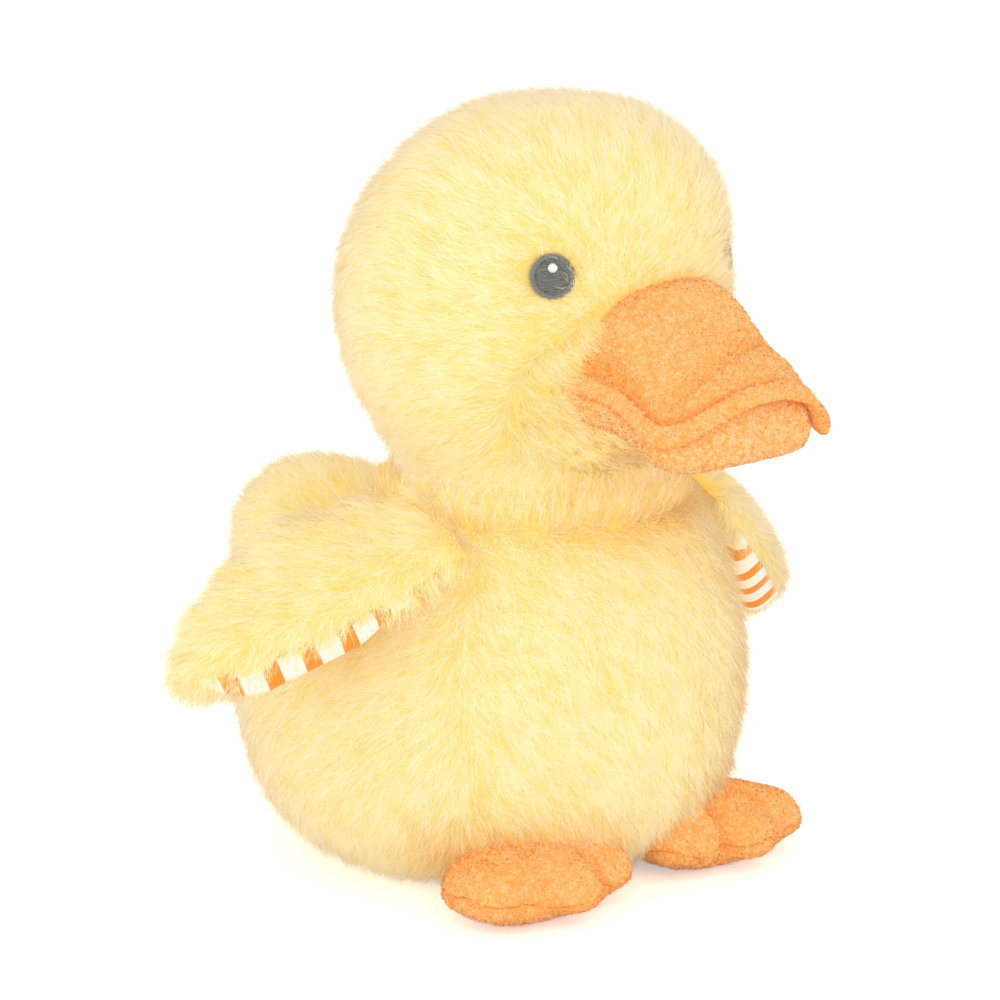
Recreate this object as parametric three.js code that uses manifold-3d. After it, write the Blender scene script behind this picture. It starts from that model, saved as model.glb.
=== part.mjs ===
// A sitting plush duckling: a pear-shaped body and a round head of long-pile fur fabric, each a cover over
// its own filling, with a two-part terry bill, stitched eyes, fur wings lined with striped cotton, a plump
// tail and two three-toed terry feet. Millimetres, +Z up. The duck faces -Y and its left side is +X. The
// origin is the middle of the flat face that it sits on.
import * as THREE from "three";
import { mergeVertices } from "three/addons/utils/BufferGeometryUtils.js";
import Module from "manifold-3d";

const wasm = await Module();
wasm.setup();

// Allowances shared by every piece.
const GAP = 0.3; // between pieces that touch
const OVERRUN = 5; // how far a cutter runs past what it cuts
const FLAT = 0.5; // how deep the resting faces are pressed flat
const COVER = 7; // fur fabric, backing and pile together

// The body: its widest radius, the height of the neck seam, and how far its lower part lies to the back.
const BODY = { radius: 79, height: 120, back: 3.5 };
// The neck seam: its radius, and how far it lies in front of the origin.
const NECK = { radius: 42, forward: 14.5 };
// The head: its widest radius, its height above the neck seam, the height of its middle above that seam,
// and how far its brow leans forward.
const HEAD = { radius: 60, height: 113.5, middle: 52, brow: 10 };
// The bill: half its width at the front and at the head, how far it stands out of the head, the height of
// its dome above its lip at the head, the depth of its lower part, how far its sewn edge droops to the front
// and how far its seam lies below the head's middle.
const BILL = { half: 39.5, rootHalf: 30, reach: 31.5, dome: 22.5, pouch: 12, droop: 11, below: 21 };
// The lip round the bill's edge: its width, its thickness, how far it arches up in the middle, how far that
// middle lies to the duck's left, how far its left corner curls in a knob, and how far the lip stands out
// beyond the lower bill.
const LIP = { wide: 5, thick: 6.8, arch: 11.5, aside: 5, knob: 4, beyond: 1.6 };
// The stitched eyes: radius, thickness, how deep they lie in the pile, their height above the head's middle
// and how far round the head they lie from the front, in degrees.
const EYE = { radius: 6.5, thick: 1.6, sunk: 3, above: 14.5 };
const EYE_TURN_DEGREES = 40;
// The white stitches in the eye: radius, thickness and height above the eye's middle.
const GLINT = { radius: 1.5, thick: 0.7, above: 2.4 };
// The wings: length from the hinge seam, widest chord, chord at the seam, thickness of the fur pad and of
// the lined pad, radius of the sewn roll at the seam, the height of the seam's middle below the neck seam,
// and how far the roll's middle stands off the body.
const WING = { span: 85, chord: 48, seam: 32, fur: 10, lining: 8.5, roll: 6, below: 11, off: 3 };
// How the wings are set: their place round the body from the side, and each wing's sweep to the back, droop
// and roll about its span.
const WING_ROUND_DEGREES = -16;
const WING_SET_DEGREES = {
  left: { sweep: 26, droop: 34.5, pitch: 36 },
  right: { sweep: 29.7, droop: 24, pitch: 26 },
};
// The feet: half their spacing, how far the heel lies under the belly, the length from the heel's seam to
// the toes, half their width, the height of the instep and of the side seam.
const FOOT = { apart: 36.8, tuck: 41, length: 40, half: 29.5, instep: 21, seam: 8.5 };
// The rolled heel: its radius and half its width.
const HEEL = { radius: 6, half: 14 };
// The toes: half a toe's width, half its length, its height, how far its underside curls off the ground, and
// the angle between neighbouring toes.
const TOE = { half: 11, length: 14, height: 18, curl: 3 };
const TOE_SPLAY_DEGREES = 20;
// How far a foot may be lifted towards the belly and turned down.
const [LIFT_DEGREES, DROP_DEGREES] = [6, 16];
// The tail: half its width, half its length, half its height, how deep its middle lies in from the body's
// widest radius, and its height.
const TAIL = { half: 33, length: 38, rise: 30, sunk: 7, height: 80 };
// The pouch of beans in the base: radius, thickness, and how far back its middle lies.
const BEANS = { radius: 32, thick: 20, back: 14 };

// How finely the soft forms are faceted, round and from pole to pole.
const FACETS = { skin: [32, 15], lining: [22, 10], wing: [18, 12], lobe: [16, 8], bill: [28, 14], disc: 16 };

const { cos, sin, hypot, min, max, PI, sqrt, abs, sign } = Math;
const radians = THREE.MathUtils.degToRad;
const vector = (x, y, z) => new THREE.Vector3(x, y, z);

const MATERIALS = {
  fur: new THREE.MeshStandardMaterial({ color: 0xfbe693, roughness: 0.95, metalness: 0 }),
  terry: new THREE.MeshStandardMaterial({ color: 0xfcb868, roughness: 0.95, metalness: 0 }),
  stripes: new THREE.MeshStandardMaterial({ color: 0xf8c99a, roughness: 0.85, metalness: 0 }),
  eye: new THREE.MeshStandardMaterial({ color: 0x565c62, roughness: 0.6, metalness: 0 }),
  glint: new THREE.MeshStandardMaterial({ color: 0xf4f4f2, roughness: 0.6, metalness: 0 }),
  filling: new THREE.MeshStandardMaterial({ color: 0xf5f5f5, roughness: 1, metalness: 0 }),
  beans: new THREE.MeshStandardMaterial({ color: 0xe9e2d2, roughness: 0.9, metalness: 0 }),
};

// A closed soft form: a sphere's grid of points, each moved to place(turn, down). turn runs once round, and
// down runs from the first pole, 0, to the last, 1.
function softForm([around, along], place) {
  const geometry = new THREE.SphereGeometry(1, around, along);
  const { position } = geometry.attributes;
  for (let row = 0; row <= along; row++) {
    for (let column = 0; column <= around; column++) {
      const turn = (2 * PI * (column % around)) / around;
      const point = place(turn, row / along);
      position.setXYZ(row * (around + 1) + column, point.x, point.y, point.z);
    }
  }
  return geometry;
}

// A geometry as a solid that can be joined and cut.
function solid(geometry) {
  const bare = geometry.clone();
  bare.deleteAttribute("normal");
  bare.deleteAttribute("uv");
  const merged = mergeVertices(bare);
  const triVerts = new Uint32Array(merged.index.array);
  return new wasm.Manifold(
    new wasm.Mesh({ numProp: 3, vertProperties: merged.attributes.position.array, triVerts }),
  );
}

// A named mesh of a solid.
function mesh(name, shape, material) {
  const { vertProperties, triVerts } = shape.getMesh();
  const geometry = new THREE.BufferGeometry();
  geometry.setAttribute("position", new THREE.BufferAttribute(vertProperties, 3));
  geometry.setIndex(new THREE.BufferAttribute(triVerts, 1));
  geometry.computeVertexNormals();
  const made = new THREE.Mesh(geometry, material);
  made.name = name;
  return made;
}

// How much larger a faceted ball must be for a true ball to fit inside it.
const [AROUND, ALONG] = FACETS.skin;
const FACET_SHARE = 1 / (cos(PI / AROUND) * cos(PI / (2 * ALONG)));

// A ball at a point.
function ball(radius, centre) {
  const geometry = new THREE.SphereGeometry(radius, ...FACETS.skin);
  geometry.rotateX(PI / 2);
  geometry.translate(centre.x, centre.y, centre.z);
  return solid(geometry);
}

// A round bar along the unit vector axis, with its middle at centre.
function bar(radius, length, axis, centre) {
  const geometry = new THREE.CylinderGeometry(radius, radius, length, FACETS.disc);
  geometry.applyQuaternion(new THREE.Quaternion().setFromUnitVectors(vector(0, 1, 0), axis));
  geometry.translate(centre.x, centre.y, centre.z);
  return solid(geometry);
}

// A block from its lowest corner to its highest.
function block(low, high) {
  const size = high.clone().sub(low);
  const middle = low.clone().add(high).divideScalar(2);
  return solid(new THREE.BoxGeometry(size.x, size.y, size.z).translate(middle.x, middle.y, middle.z));
}

const smooth = (share) => THREE.MathUtils.smoothstep(share, 0, 1);
const mix = THREE.MathUtils.lerp;
// A power that keeps the sign, for superellipses.
const signedPower = (value, power) => sign(value) * abs(value) ** power;

// A smooth table of shares: pairs of a place and a value, read at any place between.
function readShares(shares, place) {
  const after = shares.findIndex(([at]) => at >= place);
  if (after <= 0) return shares.at(after)[1];
  const [[from, low], [to, high]] = [shares[after - 1], shares[after]];
  return mix(low, high, smooth((place - from) / (to - from)));
}

// A form turned from an outline of [radius, height] points that runs from its top pole to its bottom pole,
// swollen outwards by grow, with each height moved along Y by lean(height).
function turnedForm(outline, lean, grow, facets) {
  const curve = new THREE.SplineCurve(outline.map(([radius, height]) => new THREE.Vector2(radius, height)));
  return softForm(facets, (turn, down) => {
    const point = curve.getPointAt(down);
    const along = curve.getTangentAt(down);
    const pole = down === 0 || down === 1;
    const outward = pole ? new THREE.Vector2(0, sign(0.5 - down)) : new THREE.Vector2(-along.y, along.x);
    point.addScaledVector(outward, grow);
    const radius = pole ? 0 : point.x;
    return vector(radius * cos(turn), radius * sin(turn) + lean(point.y), point.y);
  });
}

// The body's outline, as shares of its radius and of the height of its neck seam.
const BODY_SHARES = [
  [0, 1.1], [0.28, 1.09], [0.47, 1.04], [0.6, 0.965], [0.735, 0.855], [0.87, 0.715], [0.96, 0.585],
  [1, 0.45], [0.985, 0.33], [0.935, 0.21], [0.86, 0.12], [0.765, 0.053], [0.66, 0.012],
];
const bodyOutline = [
  ...BODY_SHARES.map(([radius, height]) => [radius * BODY.radius, height * BODY.height]),
  [BODY.radius / 2, -FLAT],
  [0, -FLAT],
];
// How a form leans over its height: not at all up to this share of it, and from there on smoothly.
const UPRIGHT_SHARE = 0.4;
const leanShare = (heightShare) => smooth((heightShare - UPRIGHT_SHARE) / (1 - UPRIGHT_SHARE));
const bodyLean = (height) => mix(BODY.back, -NECK.forward, leanShare(height / BODY.height));
const bodySolid = (grow, facets) => solid(turnedForm(bodyOutline, bodyLean, grow, facets));

// The radius of the body at a height, read off its outline.
function bodyRadius(height) {
  const below = bodyOutline.findIndex(([, at]) => at <= height);
  const [[upperRadius, upper], [lowerRadius, lower]] = [bodyOutline[below - 1], bodyOutline[below]];
  return mix(lowerRadius, upperRadius, (height - lower) / (upper - lower));
}

// The head's outline, as shares of its radius and of its height above the neck seam. It runs on below the
// seam, where the neck's ball cuts it.
const HEAD_SHARES = [
  [0, 1], [0.36, 0.975], [0.6, 0.915], [0.77, 0.835], [0.9, 0.73], [0.975, 0.61], [1, 0.475],
  [0.975, 0.34], [0.905, 0.215], [0.805, 0.115], [0.705, 0.02], [0.64, -0.08], [0.42, -0.24], [0, -0.28],
];
const headOutline = HEAD_SHARES.map(([radius, height]) => [
  radius * HEAD.radius,
  BODY.height + height * HEAD.height,
]);
const headLean = (height) => -NECK.forward - HEAD.brow * leanShare((height - BODY.height) / HEAD.height);
const headSolid = (grow, facets) => solid(turnedForm(headOutline, headLean, grow, facets));

// The head nods on a ball about its own middle, so its underside and the hollow that it sits in are parts
// of balls about that point.
const NECK_BALL = {
  centre: vector(0, -NECK.forward, BODY.height + HEAD.middle),
  radius: hypot(NECK.radius, HEAD.middle),
};

// The ground, from the flat face down: what the resting pieces are pressed flat on.
const REACH = BODY.radius + TAIL.length + WING.span + BILL.reach;
const ground = block(vector(-REACH, -REACH, -REACH), vector(REACH, REACH, 0));

// One lobe of a foot: a rounded box in plan, with its own height above the side seam and its own underside.
function lobe({ x, y, half, length, top, under, turned, boxShare }) {
  return softForm(FACETS.lobe, (turn, down) => {
    const level = cos(PI * down);
    const height = FOOT.seam + level * (level > 0 ? top - FOOT.seam : FOOT.seam - under);
    const width = sin(PI * down) ** LOBE_ROUND_SHARE;
    const across = half * width * signedPower(cos(turn), boxShare);
    const ahead = length * width * signedPower(sin(turn), boxShare);
    const angle = radians(turned);
    return vector(
      x + across * cos(angle) - ahead * sin(angle),
      y + across * sin(angle) + ahead * cos(angle),
      height,
    );
  });
}

// A foot about its heel seam, which is its own x axis at the height of the heel's roll: an instep and three
// toes. The outer toe is on the -X side. Its back part can be swollen by grow.
const LOBE_ROUND_SHARE = 0.75;
const INSTEP_SHARE = { middle: 0.38, half: 0.46, box: 0.75 };
const OUTER_TOE_SHARE = 0.7;
const HEEL_LINE = BODY.radius - FOOT.tuck;
function footSolid(grow) {
  const instep = lobe({
    x: 0,
    y: -FOOT.length * INSTEP_SHARE.middle,
    half: FOOT.half + grow,
    length: FOOT.length * INSTEP_SHARE.half + grow,
    top: FOOT.instep + grow,
    under: -FLAT - grow,
    turned: 0,
    boxShare: INSTEP_SHARE.box,
  });
  const axis = vector(0, 0, HEEL.radius);
  const heel = bar(HEEL.radius + grow, 2 * (HEEL.half + grow), vector(1, 0, 0), axis);
  const ahead = block(vector(-REACH, -REACH, -REACH), vector(REACH, grow, REACH));
  let shape = solid(instep).intersect(ahead).add(heel);
  for (const place of [-1, 0, 1]) {
    const toe = lobe({
      x: place * (FOOT.half - TOE.half),
      y: (TOE.length - FOOT.length) * mix(1, OUTER_TOE_SHARE, abs(place)),
      half: TOE.half + grow,
      length: TOE.length + grow,
      top: TOE.height + grow,
      under: TOE.curl - grow,
      turned: place * TOE_SPLAY_DEGREES,
      boxShare: 1,
    });
    shape = shape.add(solid(toe));
  }
  return shape;
}

// The room that a foot needs in the body, from lifted to turned down.
function footRoom(grow) {
  const flat = footSolid(grow).translate([0, 0, -HEEL.radius]);
  return [-LIFT_DEGREES, 0, DROP_DEGREES / 2, DROP_DEGREES]
    .map((degrees) => flat.rotate([degrees, 0, 0]).translate([0, 0, HEEL.radius]))
    .reduce((room, turned) => room.add(turned));
}

// Where each foot's heel seam lies.
const footPlace = (side) => vector(side * FOOT.apart, -HEEL_LINE, 0);

// The left wing's own frame: x along its leading edge to the tip, y across it to the back edge, z out of
// the fur. The right wing is its mirror image.
function wingFrame(hand) {
  const set = WING_SET_DEGREES[hand];
  const [sweep, droop, pitch] = [set.sweep, set.droop, set.pitch].map(radians);
  const along = vector(cos(droop) * cos(sweep), cos(droop) * sin(sweep), -sin(droop));
  const level = vector(0, 0, 1).cross(along).normalize();
  const across = level.applyAxisAngle(along, pitch);
  const up = along.clone().cross(across);
  const height = BODY.height - WING.below;
  const round = radians(WING_ROUND_DEGREES);
  const out = bodyRadius(height) + WING.off;
  const frame = new THREE.Matrix4().makeBasis(along, across, up);
  return frame.setPosition(out * cos(round), out * sin(round) + bodyLean(height), height);
}

// The groove in the body's seam that a wing's roll turns in.
function wingGroove(hand, grow) {
  const frame = wingFrame(hand);
  const axis = vector().setFromMatrixColumn(frame, 1);
  const centre = vector().setFromMatrixPosition(frame);
  return bar(WING.roll + grow, WING.seam + 2 * OVERRUN, axis, centre);
}

// The wing's outline: along its span, where its front and back edges lie, as shares of the widest chord.
const FRONT_EDGE_SHARES = [[0, -0.32], [0.2, -0.38], [0.42, -0.41], [0.7, -0.38], [0.9, -0.29], [1, -0.12]];
const BACK_EDGE_SHARES = [
  [0, 0.32], [0.2, 0.5], [0.42, 0.59], [0.62, 0.5], [0.8, 0.31], [0.92, 0.1], [1, -0.12],
];
// The thickness along the span, from the roll's to the pad's own.
const PAD_SHARES = [[0, 0], [0.35, 1], [0.65, 1], [0.88, 0.72], [1, 0.4]];
const TIP_SHARE = 0.8; // of the span, where the tip begins to close
const ROOT_SHARE = 0.3; // of the span, over which the root widens to the full chord
const ROLL_ROWS_SHARE = 0.15; // of the rows of facets, those round the roll
// How round the two pads are across the chord and in thickness: the lined pad has a blunt edge.
const FUR_ROUND_SHARES = [0.75, 0.75];
const LINING_ROUND_SHARES = [0.45, 0.5];

// A wing pad on one side of the seam plane: side is 1 for the fur and -1 for the lining.
function wingPad(side, thickness, [chordShare, thickShare]) {
  const rootChord = WING.chord * (BACK_EDGE_SHARES[0][1] - FRONT_EDGE_SHARES[0][1]);
  return softForm(FACETS.wing, (turn, down) => {
    const onRoll = down < ROLL_ROWS_SHARE;
    const rolled = (PI / 2) * (down / ROLL_ROWS_SHARE);
    const share = sin((PI / 2) * max(0, (down - ROLL_ROWS_SHARE) / (1 - ROLL_ROWS_SHARE)));
    const narrow = mix(WING.seam / rootChord, 1, smooth(share / ROOT_SHARE));
    const front = readShares(FRONT_EDGE_SHARES, share) * WING.chord * narrow;
    const back = readShares(BACK_EDGE_SHARES, share) * WING.chord * narrow;
    const swell = mix(WING.roll, thickness, readShares(PAD_SHARES, share));
    const closing = sqrt(1 - max(0, (share - TIP_SHARE) / (1 - TIP_SHARE)) ** 2);
    const thick = onRoll ? WING.roll * sin(rolled) : swell * closing;
    const pole = down === 0 || down === 1;
    const half = pole ? 0 : (back - front) / 2;
    const x = onRoll ? -WING.roll * cos(rolled) : share * WING.span;
    const y = (front + back) / 2 - half * signedPower(cos(turn), chordShare);
    const z = thick * signedPower(sin(turn), thickShare);
    return vector(x, y, side * max(GAP / 2, side * z));
  });
}

// The bill in plan, about a point inside the head: half its width and its front edge, as a rounded box.
const HEAD_FRONT = -(NECK.forward + HEAD.radius);
const BILL_FRONT = HEAD_FRONT - BILL.reach;
const BILL_BACK = HEAD_FRONT + BILL.rootHalf;
const BILL_MIDDLE = (BILL_FRONT + BILL_BACK) / 2;
const BILL_CORNER_SHARE = 0.42;
const forwardShare = (y) => (BILL_BACK - y) / (BILL_BACK - BILL_FRONT);
// A point of the plan at a share of the way out to the edge. It widens from the head to the front.
function billPlan(turn, out, inset) {
  const length = (BILL_BACK - BILL_FRONT) / 2 - inset;
  const y = BILL_MIDDLE + out * length * signedPower(sin(turn), BILL_CORNER_SHARE);
  const half = mix(BILL.rootHalf, BILL.half, smooth(2 * forwardShare(y) - 1)) - inset;
  return new THREE.Vector2(out * half * signedPower(cos(turn), BILL_CORNER_SHARE), y);
}
// The height anywhere in the plan of a surface that droops to the front, like the bill's corners.
const DROOP_SHARE = 0.4; // of the way forward, where the droop begins
function billDroop(y) {
  const droop = (BILL.droop * max(0, forwardShare(y) - DROOP_SHARE)) / (1 - DROOP_SHARE);
  return NECK_BALL.centre.z - BILL.below - droop;
}
// How near a point of the plan is to the left front corner, where the lip curls.
const KNOB_SHARES = { across: [0.5, 0.8], ahead: [0.62, 0.92] }; // where it begins and where it is full
function knobShare(x, y) {
  const [across, ahead] = [KNOB_SHARES.across, KNOB_SHARES.ahead];
  const sideways = (x / BILL.half - across[0]) / (across[1] - across[0]);
  const forward = (forwardShare(y) - ahead[0]) / (ahead[1] - ahead[0]);
  return smooth(sideways) * smooth(forward);
}
// The sewn edge's height anywhere in the plan: it arches up in the middle and drops at the knob.
const ARCH_ROUND_SHARE = 1.5; // how narrow the arch is
function billSeam(x, y) {
  const reach = BILL.half - sign(x - LIP.aside) * LIP.aside;
  const across = min(1, abs(x - LIP.aside) / reach);
  const arch = LIP.arch * smooth(forwardShare(y)) * (1 - across * across) ** ARCH_ROUND_SHARE;
  return billDroop(y) + arch - LIP.knob * knobShare(x, y);
}
// The upper bill: a dome that falls to the front, then a stitched groove and a thick lip.
const TOP_ROWS_SHARE = 0.7; // of the rows of facets, those on top
const LIP_ROWS_SHARE = 0.4; // of the rows on top, those on the lip
const DOME_SHARES = [[0, 1], [0.5, 1], [0.72, 0.5], [0.86, 0.27], [1, 0.1]];
const DOME_ROUND_SHARE = 0.34; // how gently the dome falls to its groove
const LIP_SHARES = [[0, 0.7], [0.4, 1], [0.7, 0.92], [1, 0]]; // its height across its width
function upperBill() {
  const inner = 1 - LIP.wide / BILL.half;
  return softForm(FACETS.bill, (turn, down) => {
    const onTop = down <= TOP_ROWS_SHARE;
    const topShare = down / TOP_ROWS_SHARE;
    const onLip = onTop && topShare > 1 - LIP_ROWS_SHARE;
    const lipShare = max(0, (topShare - 1 + LIP_ROWS_SHARE) / LIP_ROWS_SHARE);
    const domeOut = (topShare / (1 - LIP_ROWS_SHARE)) * inner;
    const topOut = onLip ? mix(inner, 1, lipShare) : domeOut;
    const out = onTop ? topOut : (1 - down) / (1 - TOP_ROWS_SHARE);
    const plan = billPlan(turn, out, 0);
    const fall = max(0, 1 - (out / inner) ** 3) ** DOME_ROUND_SHARE;
    const dome = BILL.dome * readShares(DOME_SHARES, forwardShare(plan.y)) * fall;
    const thick = LIP.thick + LIP.knob * knobShare(plan.x, plan.y);
    const height = (onLip ? 0 : dome) + thick * readShares(LIP_SHARES, lipShare);
    return vector(plan.x, plan.y, billSeam(plan.x, plan.y) + GAP / 2 + (onTop ? height : 0));
  });
}
// The lower bill: a soft pouch under the edge.
const LID_ROWS_SHARE = 0.25; // of the rows of facets, those on its flat top
function lowerBill() {
  return softForm(FACETS.bill, (turn, down) => {
    const onTop = down <= LID_ROWS_SHARE;
    const hangShare = (1 - down) / (1 - LID_ROWS_SHARE);
    const out = onTop ? down / LID_ROWS_SHARE : sin((PI / 2) * hangShare);
    const plan = billPlan(turn, out, LIP.beyond);
    const hang = BILL.pouch * sqrt(max(0, 1 - out ** 3));
    const height = onTop ? billSeam(plan.x, plan.y) : min(billSeam(plan.x, plan.y), billDroop(plan.y) - hang);
    return vector(plan.x, plan.y, height - GAP / 2);
  });
}

// A point on the head's skin, and the direction straight out of it.
function headPoint(turnDegrees, height) {
  const share = (height - BODY.height) / HEAD.height;
  const after = HEAD_SHARES.findIndex(([, at]) => at <= share);
  const [[highRadius, high], [lowRadius, low]] = [HEAD_SHARES[after - 1], HEAD_SHARES[after]];
  const radius = HEAD.radius * mix(lowRadius, highRadius, (share - low) / (high - low));
  const angle = radians(turnDegrees);
  const slope = ((lowRadius - highRadius) * HEAD.radius) / ((high - low) * HEAD.height);
  return {
    point: vector(-radius * sin(angle), headLean(height) - radius * cos(angle), height),
    out: vector(-sin(angle), -cos(angle), slope).normalize(),
  };
}
const EYE_SEAT = headPoint(EYE_TURN_DEGREES, NECK_BALL.centre.z + EYE.above);
// A round hole for the eye through the pile.
function eyeHole() {
  const depth = EYE.sunk + EYE.thick / 2 + OVERRUN;
  const centre = EYE_SEAT.point.clone().addScaledVector(EYE_SEAT.out, depth / 2 - EYE.sunk - EYE.thick);
  return bar(EYE.radius + GAP, depth, EYE_SEAT.out, centre);
}
const mirrored = (shape) => shape.mirror([1, 0, 0]);

// The covers and their fillings.
function bodyPieces() {
  const socket = ball((NECK_BALL.radius + GAP) * FACET_SHARE, NECK_BALL.centre);
  const room = (grow) => {
    const place = footPlace(1);
    const left = mirrored(footRoom(grow)).translate([place.x, place.y, place.z]);
    return left.add(mirrored(left));
  };
  const pouch = beanSolid(GAP);
  const hollow = bodySolid(-COVER, FACETS.lining).subtract(room(COVER / 2));
  const cover = bodySolid(0, FACETS.skin)
    .subtract(hollow)
    .subtract(socket)
    .subtract(wingGroove("left", GAP))
    .subtract(mirrored(wingGroove("right", GAP)))
    .subtract(room(GAP))
    .subtract(ground);
  const filling = bodySolid(-COVER - GAP, FACETS.lining)
    .subtract(room(COVER / 2 + GAP))
    .subtract(socket)
    .subtract(pouch);
  return [
    mesh("body_cover", cover, MATERIALS.fur),
    mesh("body_filling", filling, MATERIALS.filling),
    mesh("bean_bag", beanSolid(0), MATERIALS.beans),
    mesh("tail", tailSolid(), MATERIALS.fur),
  ];
}

// The pouch of beans, flat on the base of the cover.
function beanSolid(grow) {
  const floor = COVER - FLAT + GAP;
  return solid(
    softForm(FACETS.lobe, (turn, down) => {
      const width = (BEANS.radius + grow) * sin(PI * down) ** LOBE_ROUND_SHARE;
      const height = floor - grow + (BEANS.thick / 2 + grow) * (1 + cos(PI * down));
      return vector(width * cos(turn), BEANS.back + width * sin(turn), height);
    }),
  );
}

// The tail: a plump lobe on the back, cut to sit on the body. It narrows to the back and lifts a little.
const TAIL_TAPER_SHARE = 0.12;
const TAIL_LIFT_SHARE = 0.12;
function tailSolid() {
  const middle = BODY.back + BODY.radius - TAIL.sunk;
  const lobeForm = softForm(FACETS.lobe, (turn, down) => {
    const width = sin(PI * down);
    const backward = width * sin(turn);
    const taper = 1 - TAIL_TAPER_SHARE * max(0, backward);
    const height = TAIL.height + TAIL.rise * (cos(PI * down) + TAIL_LIFT_SHARE * backward);
    return vector(TAIL.half * width * cos(turn) * taper, middle + TAIL.length * backward, height);
  });
  const seat = bodySolid(GAP, FACETS.skin);
  const socket = ball(NECK_BALL.radius + COVER, NECK_BALL.centre);
  return solid(lobeForm).subtract(seat).subtract(socket);
}

function headPieces() {
  const above = block(vector(-REACH, -REACH, NECK_BALL.centre.z), vector(REACH, REACH, REACH));
  const inside = ball(NECK_BALL.radius, NECK_BALL.centre).add(above);
  const hollow = headSolid(-COVER, FACETS.lining);
  const hole = eyeHole();
  const cover = headSolid(0, FACETS.skin)
    .intersect(inside)
    .subtract(hollow)
    .subtract(hole)
    .subtract(mirrored(hole));
  const filling = headSolid(-COVER - GAP, FACETS.lining).intersect(inside);
  const seat = headSolid(GAP, FACETS.skin);
  const upper = solid(upperBill()).subtract(seat);
  const lower = solid(lowerBill()).subtract(seat).subtract(upper.translate([0, 0, -GAP]));
  return [
    mesh("head_cover", cover, MATERIALS.fur),
    mesh("head_filling", filling, MATERIALS.filling),
    mesh("bill_upper", upper, MATERIALS.terry),
    mesh("bill_lower", lower, MATERIALS.terry),
  ];
}

// An eye of satin stitch with a small white highlight, on the duck's right, in a frame that looks out of
// the head along its z. How domed its disc is, in width and in thickness.
const DISC_ROUND_SHARES = [0.5, 0.8];
const DISC_ROWS = 5;
function eyePieces(side) {
  const group = new THREE.Group();
  const turn = new THREE.Quaternion().setFromUnitVectors(vector(0, 0, 1), EYE_SEAT.out);
  group.position.copy(EYE_SEAT.point).addScaledVector(EYE_SEAT.out, -EYE.sunk - EYE.thick + GAP);
  group.quaternion.copy(turn);
  const disc = (radius, thick) =>
    softForm([FACETS.disc, DISC_ROWS], (around, down) => {
      const width = radius * sin(PI * down) ** DISC_ROUND_SHARES[0];
      const height = (thick / 2) * (1 + signedPower(cos(PI * down), DISC_ROUND_SHARES[1]));
      return vector(width * cos(around), width * sin(around), height);
    });
  const up = vector(0, 0, 1).applyQuaternion(turn.clone().invert());
  up.z = 0;
  up.setLength(GLINT.above);
  const glint = mesh(`eye_glint_${side}`, solid(disc(GLINT.radius, GLINT.thick)), MATERIALS.glint);
  glint.position.copy(up).setZ(EYE.thick + GAP / 2);
  group.add(mesh(`eye_${side}`, solid(disc(EYE.radius, EYE.thick)), MATERIALS.eye), glint);
  return group;
}

// A wing in the left wing's frame: a fur pad over a striped cotton pad, which lies dented on the body.
function wingPieces(side) {
  const group = new THREE.Group();
  const frame = wingFrame(side);
  const back = frame.clone().invert();
  group.applyMatrix4(frame);
  const body = bodySolid(GAP, FACETS.skin).subtract(wingGroove(side, 0)).transform(back.elements);
  const fur = solid(wingPad(1, WING.fur, FUR_ROUND_SHARES)).subtract(body);
  const lining = solid(wingPad(-1, WING.lining, LINING_ROUND_SHARES)).subtract(body);
  group.add(
    mesh(`wing_${side}_fur`, fur, MATERIALS.fur),
    mesh(`wing_${side}_lining`, lining, MATERIALS.stripes),
  );
  return group;
}

// A foot on the duck's right: the upper above the side seam, and the sole below it.
function footPieces(side) {
  const group = new THREE.Group();
  group.position.copy(footPlace(-1));
  const foot = footSolid(0).subtract(ground);
  const above = block(vector(-REACH, -REACH, FOOT.seam + GAP / 2), vector(REACH, REACH, REACH));
  const below = block(vector(-REACH, -REACH, -REACH), vector(REACH, REACH, FOOT.seam - GAP / 2));
  group.add(
    mesh(`foot_${side}_upper`, foot.intersect(above), MATERIALS.terry),
    mesh(`foot_${side}_sole`, foot.intersect(below), MATERIALS.terry),
  );
  return group;
}

// A group that shows its contents mirrored left to right.
function mirrorGroup(contents) {
  const group = new THREE.Group();
  group.scale.x = -1;
  group.add(contents);
  return group;
}

const duck = new THREE.Group();
duck.add(...bodyPieces(), ...headPieces());
duck.add(eyePieces("right"), mirrorGroup(eyePieces("left")));
duck.add(wingPieces("left"), mirrorGroup(wingPieces("right")));
duck.add(footPieces("right"), mirrorGroup(footPieces("left")));

export default duck;
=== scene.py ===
# %% [markdown]
# A plush duckling, sewn from long-pile fur fabric, terry and striped cotton
#
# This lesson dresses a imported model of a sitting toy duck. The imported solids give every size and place,
# and each soft solid is replaced here by the fabric piece that a toy maker would sew: a backing cloth with
# its pile, a stuffed terry bill and feet, wings lined with striped cotton, and embroidered eyes.
# The pile is real geometry, thousands of thin blades in tufts, because the toy's soft outline and its combed
# streaks come from the fibres themselves, and a bump map can't change an outline.

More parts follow.
